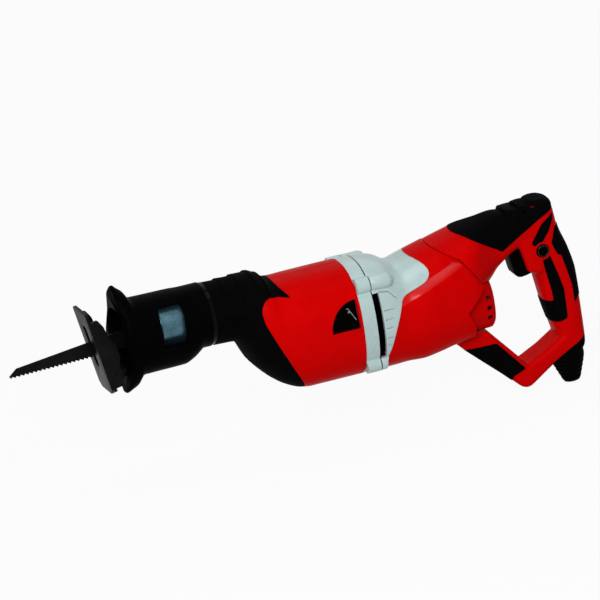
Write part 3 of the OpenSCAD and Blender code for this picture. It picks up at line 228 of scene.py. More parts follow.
TOP_PAD_EDGE = [
    (BARREL_X1, 60), (BARREL_X1 + 3.5, 22), (BARREL_X1 + 8, 21.5), (BARREL_X1 + 12.5, 20), (BARREL_X1 + 21.5, 14.4),
    (BARREL_X1 + 35.7, 4.4), (BARREL_X1 + 48.4, -4.5), (BARREL_X1 + 61.7, 3), (GRIP_REAR - 43, 11.6),
    (GRIP_REAR - 32, 17.7), (GRIP_REAR - 18, 24), (GRIP_REAR, 60)
]
STRIPE_EDGE = [
    (GRIP_REAR - 17.5, 19.8), (GRIP_REAR - 19, 14), (GRIP_REAR - 25, 3.5), (GRIP_REAR - 33, -6),
    (GRIP_REAR - 40.4, -7.9), (GRIP_REAR - 42.5, -4.8), (GRIP_REAR - 30.5, 12.3)
]
PALM_EDGE = [
    (GRIP_REAR - 34, -24), (GRIP_REAR - 27.3, -18.5), (GRIP_REAR - 21.3, -39.6), (GRIP_REAR - 17.6, -55.5),
    (GRIP_REAR - 17.8, -84), (GRIP_REAR - 24.6, -87), (GRIP_REAR - 60, -87), (GRIP_REAR - 60, -65.5),
    (GRIP_REAR - 28.4, -65.5), (GRIP_REAR - 29, -56)
]
REAR_PAD_EDGE = [
    (GRIP_REAR - 17.5, 6), (GRIP_REAR + 30, 6), (GRIP_REAR + 30, -66), (GRIP_REAR - 3.5, -66),
    (GRIP_REAR - 8.2, -71), (GRIP_REAR - 8.5, -53), (GRIP_REAR - 15.3, -22.5), (GRIP_REAR - 19.3, -20.3),
    (GRIP_REAR - 23.5, -8.3)
]
LEG_PAD_EDGE = [
    (BARREL_X1 + 1, -91), (BARREL_X1 + 30.6, -92.3), (BARREL_X1 + 55.7, -123.2), (BARREL_X1 + 43, -128),
    (BARREL_X1 + 37.5, -140), (BARREL_X1 + 30, -160), (BARREL_X1 - 20, -160)
]
PAD_EDGES = (TOP_PAD_EDGE, STRIPE_EDGE, PALM_EDGE, REAR_PAD_EDGE, LEG_PAD_EDGE)
BOOT_CAP_EDGE = [
    (GRIP_REAR + 10, -99), (GRIP_REAR - 43, -128.7), (GRIP_REAR - 40, -150), (GRIP_REAR + 10, -150)
]

# Controls; the trigger's outline is measured from its pivot
TRIGGER_PIVOT = (BARREL_X1 + 62, -3)
TRIGGER_EDGE = [
    (-4, -15), (-4.8, -6), (-4.6, 2), (2, 6), (9, -1), (16, -32), (13.5, -32.8), (9, -33.8), (4.5, -34.2),
    (1.4, -33.5), (-0.8, -31.4), (-1.8, -28), (-2.8, -22)
]
TRIGGER_HALF = 11
TRIGGER_SWING = 9
SPRING_AT = (GRIP_REAR - 45.8, -18)
SPRING_ROOM_R = 5.8
BUTTON_AT = (GRIP_REAR - 33, -14)
BUTTON_R = 6.3
BUTTON_Y = -GRIP_HALF - 2
BUTTON_WALL = 2.2
BOOT_AT = (GRIP_REAR - 19, -112)
BOOT_LEAN = 4
BOOT_R = 16.2
SELECTOR_AT = (RING_X0 - 8.5, -BODY_HALF + 0.3, MOTOR_Z + 8)
SELECTOR_TILT = 12
LEVER_TURN = -10


# Modelling

def clear_selection():
    if bpy.context.mode != "OBJECT":
        bpy.ops.object.mode_set(mode="OBJECT")
    bpy.ops.object.select_all(action="DESELECT")


def pick(*pieces):
    clear_selection()
    for piece in pieces:
        piece.select_set(True)
    bpy.context.view_layer.objects.active = pieces[0]


def edit(piece):
    """Opens a piece in edit mode, with all of it selected."""
    pick(piece)
    bpy.ops.object.mode_set(mode="EDIT")
    bpy.ops.mesh.select_all(action="SELECT")


def close(piece):
    bpy.ops.object.mode_set(mode="OBJECT")
    return piece


def close_facing_out(piece):
    bpy.ops.mesh.select_all(action="SELECT")
    bpy.ops.mesh.normals_make_consistent(inside=False)
    return close(piece)


def named(name):
    """The piece just made, under its own name."""
    piece = bpy.context.object
    piece.name = piece.data.name = name
    return piece


def settle(piece):
    """Puts a piece's place, turn and size into its mesh."""
    pick(piece)
    bpy.ops.object.transform_apply(location=True, rotation=True, scale=True)
    return piece


def merge_slivers(piece):
    """Joins corners that lie too close together for an edge to be rounded there."""
    edit(piece)
    bpy.ops.mesh.remove_doubles(threshold=SLIVER * MM)
    bpy.ops.mesh.dissolve_degenerate(threshold=SLIVER * MM)
    return close(piece)


def column(line, col, x):
    """Value of a station column at x, on a smooth line that never overshoots."""
    xs = [s[0] for s in line]
    ys = [s[col] for s in line]
    if x <= xs[0]:
        return ys[0]
    if x >= xs[-1]:
        return ys[-1]
    i = bisect.bisect_right(xs, x) - 1
    rise = [(ys[k + 1] - ys[k]) / (xs[k + 1] - xs[k]) for k in range(len(xs) - 1)]

    def slope(k):
        if k == 0:
            return rise[0]
        if k == len(rise):
            return rise[-1]
        a, b = rise[k - 1], rise[k]
        return 0 if a * b <= 0 else 2 * a * b / (a + b)

    h = xs[i + 1] - xs[i]
    t = (x - xs[i]) / h
    m0, m1 = slope(i) * h, slope(i + 1) * h
    return (ys[i] * (1 + 2 * t) * (1 - t) ** 2 + m0 * t * (1 - t) ** 2
            + ys[i + 1] * t * t * (3 - 2 * t) + m1 * t * t * (t - 1))


def rounded_section(a, b, n, count=AROUND):
    """Points round a section with half sizes a and b and roundness n."""
    points = []
    for i in range(count):
        t = 2 * math.pi * (i + 0.5) / count
        c, s = math.cos(t), math.sin(t)
        points.append((math.copysign(abs(c) ** (2 / n), c) * a, math.copysign(abs(s) ** (2 / n), s) * b))
    return points


def ring_across_x(line, x, off=0.0, relief=None, count=AROUND):
    top = column(line, 1, x) + off
    bottom = column(line, 2, x) - off
    middle = (top + bottom) / 2
    ring = []
    for y, z in rounded_section(column(line, 3, x) + off, (top - bottom) / 2, column(line, 4, x), count):
        if relief:
            grow = relief(x, y, middle + z)
            long = math.hypot(y, z)
            y, z = y * (1 + grow / long), z * (1 + grow / long)
        ring.append(Vector((x, y, middle + z)) * MM)
    return ring


def skin(name, rings):
    """A closed body through rings of points, laid out from a grid."""
    rows, around = len(rings), len(rings[0])
    clear_selection()
    bpy.ops.mesh.primitive_grid_add(x_subdivisions=around, y_subdivisions=rows - 1, size=1)
    piece = named(name)
    corners = piece.data.vertices
    for row in range(rows):
        for i in range(around + 1):
            corners[row * (around + 1) + i].co = rings[row][i % around]
    piece.matrix_world = Matrix.Identity(4)
    edit(piece)
    bpy.ops.mesh.remove_doubles(threshold=MERGE)
    bpy.ops.mesh.select_all(action="SELECT")
    bpy.ops.mesh.fill_holes(sides=0)
    return close_facing_out(piece)


def steps(x0, x1, step=STATION_STEP, extra=()):
    """Even places from x0 to x1, with the extra ones that lie between."""
    count = max(2, math.ceil((x1 - x0) / step))
    xs = {x0 + (x1 - x0) * i / count for i in range(count + 1)}
    xs |= {x for x in extra if x0 < x < x1}
    return sorted(xs)


def body_blank(name, x0, x1, off=0.0, relief=None, extra=(), count=AROUND):
    return skin(name, [ring_across_x(BODY_LINE, x, off, relief, count) for x in steps(x0, x1, extra=extra)])


def round_bar(name, start, end, radius, sides=48):
    """Round bar between two points given in millimetres."""
    a, b = Vector(start) * MM, Vector(end) * MM
    clear_selection()
    bpy.ops.mesh.primitive_cone_add(
        vertices=sides, radius1=radius * MM, radius2=radius * MM, depth=(b - a).length,
        location=(a + b) / 2, rotation=(b - a).to_track_quat("Z", "Y").to_euler())
    return settle(named(name))


def block(name, low, high, rim=0.0, segments=3):
    """Box between two corners in millimetres, its edges rounded if rim is given."""
    low, high = Vector(low), Vector(high)
    clear_selection()
    bpy.ops.mesh.primitive_cube_add(size=1, location=(low + high) / 2 * MM, scale=(high - low) * MM)
    piece = settle(named(name))
    if rim:
        soften(piece, rim, segments, 30)
    return piece


def side_plate(name, edge, y0, y1):
    """Plate with a side outline in X and Z, pulled out from y0 to y1."""
    clear_selection()
    bpy.ops.mesh.primitive_circle_add(vertices=len(edge), radius=1, fill_type="NGON")
    piece = named(name)
    for corner, (x, z) in zip(piece.data.vertices, edge):
        corner.co = Vector((x, y0, z)) * MM
    edit(piece)
    bpy.ops.mesh.extrude_region_move(TRANSFORM_OT_translate={"value": (0, (y1 - y0) * MM, 0)})
    return close_facing_out(piece)


def across(name, edge, reach=THROUGH):
    """Plate with a side outline, right across the tool."""
    return side_plate(name, edge, -reach, reach)


def grow_outline(edge, grow):
    """Outline moved outwards by grow, with its corners kept."""
    count = len(edge)
    area = sum(edge[i][0] * edge[(i + 1) % count][1] - edge[(i + 1) % count][0] * edge[i][1] for i in range(count))
    turn = 1 if area > 0 else -1
    grown = []
    for i in range(count):
        p, q, r = Vector(edge[i - 1]), Vector(edge[i]), Vector(edge[(i + 1) % count])
        a, b = (q - p).normalized(), (r - q).normalized()
        na, nb = Vector((a.y, -a.x)) * turn, Vector((b.y, -b.x)) * turn
        out = na + nb
        out = out.normalized() / max(0.4, math.sqrt((1 + na.dot(nb)) / 2)) if out.length > 1e-6 else na
        grown.append(tuple(q + out * grow))
    return grown


def round_outline(edge, radius, count=5):
    """Outline with its corners turned into arcs."""
    out = []
    for i in range(len(edge)):
        p, q, r = Vector(edge[i - 1]), Vector(edge[i]), Vector(edge[(i + 1) % len(edge)])
        reach = min(radius, (p - q).length * 0.45, (r - q).length * 0.45)
        a, b = q + (p - q).normalized() * reach, q + (r - q).normalized() * reach
        for k in range(count + 1):
            t = k / count
            out.append(tuple(a * (1 - t) ** 2 + q * 2 * t * (1 - t) + b * t * t))
    return out


def modify(piece, kind, **settings):
    """Adds a modifier and applies it."""
    pick(piece)
    change = piece.modifiers.new(kind.title(), kind)
    for key, value in settings.items():
        setattr(change, key, value)
    bpy.ops.object.modifier_apply(modifier=change.name)
    return piece


def shape_with(piece, tool, operation, keep=False):
    """Cuts, joins or trims a piece with a tool body."""
    modify(piece, "BOOLEAN", object=tool, operation=operation, solver="EXACT")
    if not keep:
        bpy.data.objects.remove(tool)
    return piece


def cut(piece, tool, keep=False):
    return shape_with(piece, tool, "DIFFERENCE", keep)


def trim(piece, tool):
    return shape_with(piece, tool, "INTERSECT")


def weld(piece, tool):
    return shape_with(piece, tool, "UNION")


def gather(name, *pieces):
    """Several bodies as one tool."""
    pick(*pieces)
    bpy.ops.object.join()
    return named(name)


def copy_of(piece, name):
    twin = piece.copy()
    twin.data = piece.data.copy()
    twin.name = twin.data.name = name
    bpy.context.collection.objects.link(twin)
    return twin


def soften(piece, width, segments=2, angle=50):
    """Rounds the edges that turn by more than an angle."""
    return modify(piece, "BEVEL", width=width * MM, segments=segments, limit_method="ANGLE",
                  angle_limit=math.radians(angle), use_clamp_overlap=True)


def swollen(piece, name, off):
    """Copy of a body, grown along its normals by off millimetres."""
    return modify(copy_of(piece, name), "DISPLACE", strength=off * MM, mid_level=0.0)


def one_side(piece, name, side, y=0.0):
    """Half of a body, cut at the plane across Y. Side is -1 or 1."""
    half = copy_of(piece, name)
    edit(half)
    bpy.ops.mesh.bisect(plane_co=(0, y * MM, 0), plane_no=(0, 1, 0), use_fill=True,
                        clear_inner=side > 0, clear_outer=side < 0)
    return close(half)


def finish_piece(piece, finish, body, *nodes, slot=None, angle=HARD_EDGE):
    """Gives a piece its finish, its body and the solids that it stands for."""
    pick(piece)
    bpy.ops.object.shade_smooth_by_angle(angle=math.radians(angle))
    piece.data.materials.clear()
    piece.data.materials.append(finish)
    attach(piece, body)
    if nodes:
        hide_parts(*nodes)
    return piece


# Finishes

class Wire:
    """A value in a finish's node tree. Arithmetic on it adds Math nodes."""

    def __init__(self, finish, socket):
        self.finish, self.socket = finish, socket

    def _math(self, operation, a, b):
        return self.finish.node("ShaderNodeMath", {"operation": operation}, {0: a, 1: b})

    def __add__(self, other):
        return self._math("ADD", self, other)

    def __radd__(self, other):
        return self._math("ADD", other, self)

    def __sub__(self, other):
        return self._math("SUBTRACT", self, other)

    def __rsub__(self, other):
        return self._math("SUBTRACT", other, self)

    def __mul__(self, other):
        return self._math("MULTIPLY", self, other)

    def __rmul__(self, other):
        return self._math("MULTIPLY", other, self)


class Finish:
    """A procedural finish on Object coordinates."""

    def __init__(self, name, **constants):
        self.material = bpy.data.materials.new(name)
        self.material.use_nodes = True
        self.tree = self.material.node_tree
        self.surface = self.tree.nodes["Principled BSDF"]
        for socket, value in constants.items():
            self.surface.inputs[socket.replace("_", " ")].default_value = value
        self.place = self.node("ShaderNodeTexCoord", out="Object")

    def node(self, kind, settings=None, sockets=None, out=0):
        node = self.tree.nodes.new(kind)
        for key, value in (settings or {}).items():
            setattr(node, key, value)
        for key, value in (sockets or {}).items():
            if isinstance(value, Wire):
                self.tree.links.new(value.socket, node.inputs[key])
            else:
                node.inputs[key].default_value = value
        return Wire(self, node.outputs[out])

    def scaled(self, scale):
        return self.node("ShaderNodeMapping", sockets={"Vector": self.place, "Scale": scale})

    def noise(self, scale, detail=2.0, vector=None):
        return self.node("ShaderNodeTexNoise", sockets={
            "Vector": vector or self.place, "Scale": scale, "Detail": detail})

    def spread(self, value, low, high, to_low=0.0, to_high=1.0):
        return self.node("ShaderNodeMapRange", sockets={
            "Value": value, "From Min": low, "From Max": high, "To Min": to_low, "To Max": to_high})

    def blend(self, mask, first, second):
        return self.node("ShaderNodeMix", {"data_type": "RGBA"}, {0: mask, 6: first, 7: second}, out=2)

    def set(self, socket, value):
        self.tree.links.new(value.socket, self.surface.inputs[socket])

    def bump(self, height, strength, distance):
        self.set("Normal", self.node("ShaderNodeBump", sockets={
            "Height": height, "Strength": strength, "Distance": distance * MM}))


def rgba(r, g, b):
    """Colour given in the 0-255 steps of a picture, as linear light."""
    return tuple((v / 255 / 12.92 if v <= 10 else ((v / 255 + 0.055) / 1.055) ** 2.4) for v in (r, g, b)) + (1.0,)


def chamfer_painted_highlight(f):
    """Painted highlight on the barrel's chamfer: a coat between its two edges, none above or below it."""
    x, z = (f.node("ShaderNodeSeparateXYZ", sockets={"Vector": f.place}, out=axis) for axis in "XZ")
    (rise, top), (lean, foot) = CHAMFER
    under = f.spread(x * rise - z, (-top - CHAMFER_FADE) * MM, (-top + CHAMFER_FADE) * MM)
    over = f.spread(z - x * lean, (foot - CHAMFER_FADE) * MM, (foot + CHAMFER_FADE) * MM)
    return under * over * CHAMFER_HIGHLIGHT_COAT


def moulded(name, light, dark, roughness, grain, specular, bump=0.15, gloss=None):
    """Moulded plastic or rubber: mottled colour, worn sheen and a fine grain."""
    f = Finish(name, Specular_IOR_Level=specular, Coat_Roughness=0.3)
    # A gloss function, where given, paints a highlight as a coat on part of the surface
    if gloss:
        f.set("Coat Weight", gloss(f))
    cloud = f.spread(f.noise(60.0, 3.0), 0.3, 0.7)
    speck = f.noise(grain, 2.0)
    f.set("Base Color", f.blend(cloud * 0.7 + speck * 0.3, dark, light))
    f.set("Roughness", f.spread(cloud * 0.6 + f.noise(grain * 0.3, 2.0) * 0.4, 0.2, 0.8,
                                roughness - 0.07, roughness + 0.07))
    f.bump(speck, bump, 0.12)
    return f.material


def painted_silver(name):
    """Silver paint with fine flakes and a faint mottle."""
    f = Finish(name, Specular_IOR_Level=0.6)
    flake = f.node("ShaderNodeTexVoronoi", {"feature": "F1"}, {"Vector": f.place, "Scale": 2600.0}, out="Color")
    flake = f.node("ShaderNodeSeparateColor", sockets={"Color": flake})
    cloud = f.noise(45.0, 3.0)
    mottle = f.spread(flake * 0.35 + cloud * 0.65, 0.2, 0.8)
    f.set("Base Color", f.blend(mottle, rgba(166, 189, 188), rgba(186, 209, 207)))
    f.set("Metallic", f.spread(flake, 0.0, 1.0, 0.0, 0.06))
    f.set("Roughness", f.spread(cloud, 0.3, 0.7, 0.26, 0.34))
    f.bump(flake, 0.04, 0.05)
    return f.material


def turned_steel(name, light, dark, roughness, stretch=(1, 1, 1)):
    """Metal with fine marks drawn out along one direction."""
    f = Finish(name)
    marks = f.noise(900.0, 3.0, f.scaled(stretch))
    cloud = f.noise(70.0, 3.0)
    f.set("Base Color", f.blend(f.spread(marks * 0.6 + cloud * 0.4, 0.3, 0.7), dark, light))
    f.set("Metallic", f.spread(cloud, 0.2, 0.8, 0.8, 1.0))
    f.set("Roughness", f.spread(marks, 0.25, 0.75, roughness - 0.08, roughness + 0.1))
    f.bump(marks, 0.08, 0.06)
    return f.material


def wound_wire(name):
    """Copper wire, turn beside turn."""
    f = Finish(name, Specular_IOR_Level=0.5)
    turns = f.node("ShaderNodeTexWave", {"wave_type": "BANDS", "bands_direction": "DIAGONAL"},
                   {"Vector": f.place, "Scale": 420.0, "Distortion": 1.5, "Detail": 2.0})
    f.set("Base Color", f.blend(turns, rgba(120, 58, 26), rgba(196, 112, 58)))
    f.set("Metallic", f.spread(turns, 0.0, 1.0, 0.5, 0.8))
    f.set("Roughness", f.spread(f.noise(200.0), 0.3, 0.7, 0.3, 0.45))
    f.bump(turns, 0.5, 0.3)
    return f.material


RED_LOOK = (rgba(208, 2, 3), rgba(198, 1, 2), 0.34, 2200.0, 0.012)
RED = moulded("red_shell_plastic", *RED_LOOK)
# Red whose coat paints a highlight on the barrel's chamfer
RED_WITH_PAINTED_HIGHLIGHT = moulded("red_panel_painted_highlight", *RED_LOOK, gloss=chamfer_painted_highlight)
RUBBER = moulded("soft_black_rubber", rgba(6, 6, 7), rgba(3, 3, 4), 0.7, 1500.0, 0.01, bump=0.3)
PLASTIC = moulded("black_plastic", rgba(4, 4, 5), rgba(2, 2, 3), 0.42, 2400.0, 0.006)
POLISHED = moulded("polished_black", rgba(7, 8, 8), rgba(4, 4, 5), 0.12, 2400.0, 0.04, bump=0.02)
GLOSSY = moulded("glossy_black", rgba(5, 5, 6), rgba(3, 3, 4), 0.18, 2400.0, 0.3, bump=0.01)
# Pale paint for the glints on the selector lever: painted highlights
PAINTED_GLINT = moulded("painted_glint_on_lever", rgba(176, 184, 188), rgba(150, 158, 164), 0.4, 2400.0, 0.3)
SILVER = painted_silver("silver_paint")
STEEL = turned_steel("turned_steel", rgba(176, 186, 196), rgba(120, 130, 142), 0.34, (6, 1, 1))
DARK_STEEL = turned_steel("blackened_steel", rgba(17, 18, 19), rgba(7, 7, 8), 0.5, (0.3, 1, 4))
BLUED_STEEL = turned_steel("blued_steel", rgba(96, 136, 150), rgba(22, 48, 60), 0.3, (6, 1, 1))
BRONZE = turned_steel("sintered_bronze", rgba(186, 144, 82), rgba(150, 108, 54), 0.42)
COPPER = wound_wire("wound_copper")
CARBON = moulded("pressed_carbon", rgba(44, 44, 46), rgba(30, 30, 32), 0.6, 1800.0, 0.3)

SLOT_FINISH = {
    "red_shell": RED, "soft_black": RUBBER, "black_plastic": PLASTIC, "silver_paint": SILVER, "steel": STEEL,
    "dark_steel": DARK_STEEL, "bronze": BRONZE, "copper": COPPER, "carbon": CARBON,
}
NODE_FINISH = {
    "clamp_sleeve": BLUED_STEEL, "blade_clamp": BLUED_STEEL, "nose_ring": POLISHED, "shoe_pivot_pin": DARK_STEEL,
}


def dress_solids():
    """Every carried-over solid gets the finish of its slot, welded and smooth between its hard edges."""
    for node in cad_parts.values():
        old = node.data.materials[0].name.split(".")[0] if node.data.materials else "steel"
        finish = NODE_FINISH.get(node.name, SLOT_FINISH.get(old, STEEL))
        node.data.materials.clear()
        node.data.materials.append(finish)
        for face in node.data.polygons:
            face.use_smooth = True
        join = node.modifiers.new("Weld", "WELD")
        join.merge_threshold = MERGE
        split = node.modifiers.new("Hard edges", "EDGE_SPLIT")
        split.split_angle = math.radians(HARD_EDGE)


# Front end

def guard_sweep(ring, x):
    """Hollows the guard's upper flanks, and sets its lower sides back from the shoe."""
    hollow, hollow_z, spread, flank = 4.8, 18, 13, 14
    set_back, low_z, fade, full = 6.5, -6, 10, 30
    near = 1 - ease((x - GUARD_X) / GUARD_LEN)
    swept = []
    for p in ring:
        side, z = abs(p.y / MM), p.z / MM
        back = hollow * math.exp(-((z - hollow_z) / spread) ** 2) * min(1.0, side / flank)
        back += set_back * min(1.0, side / full) ** 1.6 * ease((low_z - z) / fade)
        swept.append(p + Vector((near * back, 0, 0)) * MM)
    return swept


def make_collar():
    lip = [GUARD_X + d for d in (0.5, 1.2, 1.9, 2.6, 3.3, 4, 5, 6, 11, GUARD_LEN)]
    xs = steps(GUARD_X, COLLAR_X1, 2, lip)
    collar = skin("nose_collar_shell", [guard_sweep(ring_across_x(COLLAR_LINE, x), x) for x in xs])
    front, rear = GUARD_X - OVER, COLLAR_X1 + OVER
    cut(collar, round_bar("bore", (front, 0, 0), (rear, 0, 0), NOSE_R - SKIN_T, AROUND))
    cut(collar, block("channel", (front, -CHANNEL_HALF, CHANNEL_FLOOR), (COLLAR_X1 - 22, CHANNEL_HALF, -20)))
    cut(collar, block("window", (62, -46, -14), (86, -12, 24), 3.2, 4))
    soften(merge_slivers(collar), 0.9, 3, 40)
    return finish_piece(collar, PLASTIC, "housing", "nose_collar", slot="black_plastic")


GRIP_STEPS = (104, 130, 145, 160, 170)
GRIP_CORNER = 3


def grip_ribs(x, y, z):
    """Scales on top of the front grip, each one falling to the rear."""
    start, fall, low_z, fade = 0.6, 1.2, 2, 14
    if x <= GRIP_STEPS[0] or x >= GRIP_STEPS[-1]:
        return 0
    i = bisect.bisect_right(GRIP_STEPS, x) - 1
    t = (x - GRIP_STEPS[i]) / (GRIP_STEPS[i + 1] - GRIP_STEPS[i])
    return -(start + fall * t) * ease((z - low_z) / fade)


def make_front_grip():
    edges = [x + d for x in GRIP_STEPS[1:] for d in (-0.05, 0.4)]
    rear = COVER_X0 + 10
    grip = body_blank("front_grip_skin", GRIP_X0, rear, 0, grip_ribs, edges)
    cut(grip, body_blank("grip_core", GRIP_X0 - OVER, rear + OVER, -SKIN_T))
    trim(grip, across("grip_side", round_outline(GRIP_EDGE, GRIP_CORNER)))
    soften(grip, 0.5)
    return finish_piece(grip, RUBBER, "housing", "front_grip", slot="soft_black")


def selector_recess():
    """Quarter-round tool for the selector's place."""
    corner_x, corner_z, radius, turns = 5.5, -5.2, 28, 24
    outline = [(corner_x, corner_z)] + [
        (corner_x - radius * math.sin(a), corner_z + radius * math.cos(a))
        for a in (math.pi / 2 * k / turns for k in range(turns + 1))]
    tool = side_plate("recess", round_outline(outline, 1.2, 3), -8, 9)
    tool.rotation_euler = (math.radians(-SELECTOR_TILT), 0, 0)
    tool.location = Vector(SELECTOR_AT) * MM
    return settle(tool)


def make_front_covers():
    cover = body_blank("cover_blank", SWELL_X0, RING_X0 - FIT)
    cut(cover, body_blank("cover_core", SWELL_X0 - OVER, RING_X0 + OVER, -SKIN_T))
    cut(cover, across("grip_side", round_outline(grow_outline(GRIP_EDGE, FIT), GRIP_CORNER)))
    for side, node in ((-1, "front_cover_left"), (1, "front_cover_right")):
        half = one_side(cover, node + "_shell", side, side * PARTING)
        if side < 0:
            cut(half, selector_recess())
            weld(half, round_bar("ridge", (221.6, -49.8, -36.4), (241.4, -49.8, -37.4), 0.95, 16))
        soften(half, 0.5)
        finish_piece(half, RED, "housing", node, slot="red_shell")
    bpy.data.objects.remove(cover)


# Silver ring and motor

def weld_bosses(piece, x0, x1, radius, domed=False):
    """Adds the four round screw bosses to a piece, with domed rear ends if asked."""
    for sy in (-1, 1):
        for sz in (-1, 1):
            y, z = sy * (BOSS_Y + BOSS_OUT), MOTOR_Z + sz * (BOSS_Z + BOSS_OUT)
            boss = round_bar("boss", (x0, y, z), (x1, y, z), radius, 40)
            if domed:
                edit(boss)
                mesh = bmesh.from_edit_mesh(boss.data)
                bpy.ops.mesh.select_all(action="DESELECT")
                for edge in mesh.edges:
                    edge.select = all(v.co.x > (x1 - 0.01) * MM for v in edge.verts)
                bpy.ops.mesh.bevel(offset=radius * 0.85 * MM, segments=6, affect="EDGES")
                close(boss)
            weld(piece, boss)


def make_clamp_ring():
    x0, x1 = RING_X0 + FIT, SEAM_X + 0.1
    ring = body_blank("clamp_ring_band", x0, x1, -0.05)
    weld_bosses(ring, x0, x1, BOSS_R + 0.3)
    cut(ring, body_blank("ring_core", RING_X0 - OVER, SEAM_X + OVER, -RING_T))
    soften(ring, 0.8, 3, 40)
    return finish_piece(ring, SILVER, "housing", slot="silver_paint")


def make_seam_gasket():
    rear = SEAM_X + SEAM_GAP + 0.1
    gasket = body_blank("seam_gasket", SEAM_X, rear, -0.7)
    weld_bosses(gasket, SEAM_X, rear, BOSS_R - 0.6)
    cut(gasket, body_blank("gasket_core", SEAM_X - OVER, SEAM_X + 2 * OVER, -3))
    soften(gasket, 0.15)
    return finish_piece(gasket, RUBBER, "housing", slot="soft_black")


def side_reach(x, z):
    """How far the body's side stands from the middle plane at a height."""
    top, bottom, n = column(BODY_LINE, 1, x), column(BODY_LINE, 2, x), column(BODY_LINE, 4, x)
    high = abs(z - (top + bottom) / 2) / ((top - bottom) / 2)
    return column(BODY_LINE, 3, x) * max(0.0, 1 - high ** n) ** (1 / n)


def outside(side, depth):
    """Span across the tool, from a depth in the side outwards."""
    return sorted((side * depth, side * 60))


def shell_relief(x, y, z):
    """Hollow behind the upper bosses."""
    deep, mid_x, long, mid_z, high = 0.8, 291, 7, 3, 13
    side = ease((abs(y) - 8) / 20)
    hollow = math.exp(-((x - mid_x) / long) ** 2 - ((z - mid_z) / high) ** 2)
    return -deep * hollow * side


def make_motor_shell():
    front, rear = SEAM_X + SEAM_GAP, SEAM_X + 70
    shell = body_blank("motor_ring_shell", front, rear, 0, shell_relief)
    weld_bosses(shell, front, SEAM_X + 24, BOSS_R, True)
    cut(shell, body_blank("shell_core", SEAM_X - OVER, rear + OVER, -SKIN_T))
    trim(shell, across("silver_side", SILVER_EDGE))
    for side in (-1, 1):
        middle, half = side * BODY_HALF, 20
        cut(shell, block("slot", (SEAM_X - OVER, middle - half, MOTOR_Z - 33.5),
                         (SEAM_X + 7.2, middle + half, MOTOR_Z + 30.5)))
    for x1, z in GROOVES:
        for side in (-1, 1):
            y0, y1 = outside(side, side_reach(x1, z) - 1)
            cut(shell, block("groove", (SEAM_X + 8.6, y0, z - GROOVE_HALF), (x1, y1, z + GROOVE_HALF)))
    for side in (-1, 1):
        cut(shell, side_plate("groove", BENT_GROOVE, *outside(side, side_reach(284, -6) - 0.9)))
    soften(shell, 0.3)
    return finish_piece(shell, SILVER, "housing", "motor_ring", slot="silver_paint")


def panel_relief(x, y, z):
    """Side panel that stands proud below a slanting chamfer."""
    tall, start_x, rise, start_y, turn = 3, 288, 26, 16, 14
    upper, lower = (base + slope * x for slope, base in CHAMFER)
    proud = tall * ease((x - start_x) / rise)
    return proud * max(0.0, min(1.0, (upper - z) / (upper - lower))) * ease((abs(y) - start_y) / turn)


def barrel_outer(name, off=0.0, gap=0.0):
    barrel = body_blank(name, SEAM_X + 5, BARREL_X1 + 23, off, panel_relief, count=PANEL_AROUND)
    return cut(barrel, across("behind", grow_outline(BEHIND_EDGE, gap - off)))


def make_motor_barrel():
    barrel = barrel_outer("motor_barrel_shell", 0, 0.2)
    cut(barrel, body_blank("barrel_core", SEAM_X, REAR_X - 5, -BARREL_WALL))
    cut(barrel, across("silver_side", grow_outline(SILVER_EDGE, FIT)))
    soften(barrel, 0.5)
    # The barrel's finish carries a painted highlight on its chamfer
    return finish_piece(barrel, RED_WITH_PAINTED_HIGHLIGHT, "housing", "motor_barrel", slot="red_shell", angle=14)


def make_rear_vent():
    outer = -BARREL_WALL - 2.2
    front = BARREL_X1 - 12
    vent = body_blank("rear_vent_shell", front, REAR_X, outer)
    cut(vent, body_blank("vent_core", front - OVER, REAR_X - BARREL_WALL, outer - BARREL_WALL))
    pitch, half = 10, 14
    for i in range(3):
        for middle in (-28, 28):
            cut(vent, block("hole", (REAR_X - 10, middle - half, MOTOR_Z - 7.8 - pitch * i),
                            (REAR_X - 4.5, middle + half, MOTOR_Z - 3.2 - pitch * i), 0.8))
    soften(vent, 0.6)
    return finish_piece(vent, RED, "housing", "rear_vent_cover", slot="red_shell")


# Handle

def wrapped_discs(stations):
    """Chamfered discs across the tool and the body that wraps them."""
    discs = []
    for x, z, r, w in stations:
        disc = round_bar("disc", (x, -w, z), (x, w, z), r, 32)
        soften(disc, min(4, r - 0.5), 3, 60)
        discs.append(disc)
    leg = gather("leg", *discs)
    edit(leg)
    bpy.ops.mesh.convex_hull()
    return close(leg)


def make_handle_body():
    """Arm, grip, leg and shroud as one smooth body."""
    xs = [station[0] for station in ARM_LINE]
    arm = skin("handle_body", [ring_across_x(ARM_LINE, x) for x in steps(xs[0], xs[-1], extra=xs)])
    up = sorted(GRIP_LINE)
    rings = []
    for z in steps(up[0][0], up[-1][0]):
        front, rear, half = (column(up, c, z) for c in (1, 2, 3))
        rings.append([Vector(((front + rear) / 2 + a, b, z)) * MM
                      for a, b in rounded_section((rear - front) / 2, half, GRIP_ROUND)])
    weld(arm, skin("grip", rings))
    for a, b in zip(LEG_LINE, LEG_LINE[1:]):
        weld(arm, wrapped_discs((a, b)))
    weld(arm, wrapped_discs(SHROUD_LINE))
    modify(arm, "REMESH", mode="VOXEL", voxel_size=1.3 * MM, use_smooth_shade=True)
    modify(arm, "SMOOTH", factor=0.5, iterations=9)
    return arm


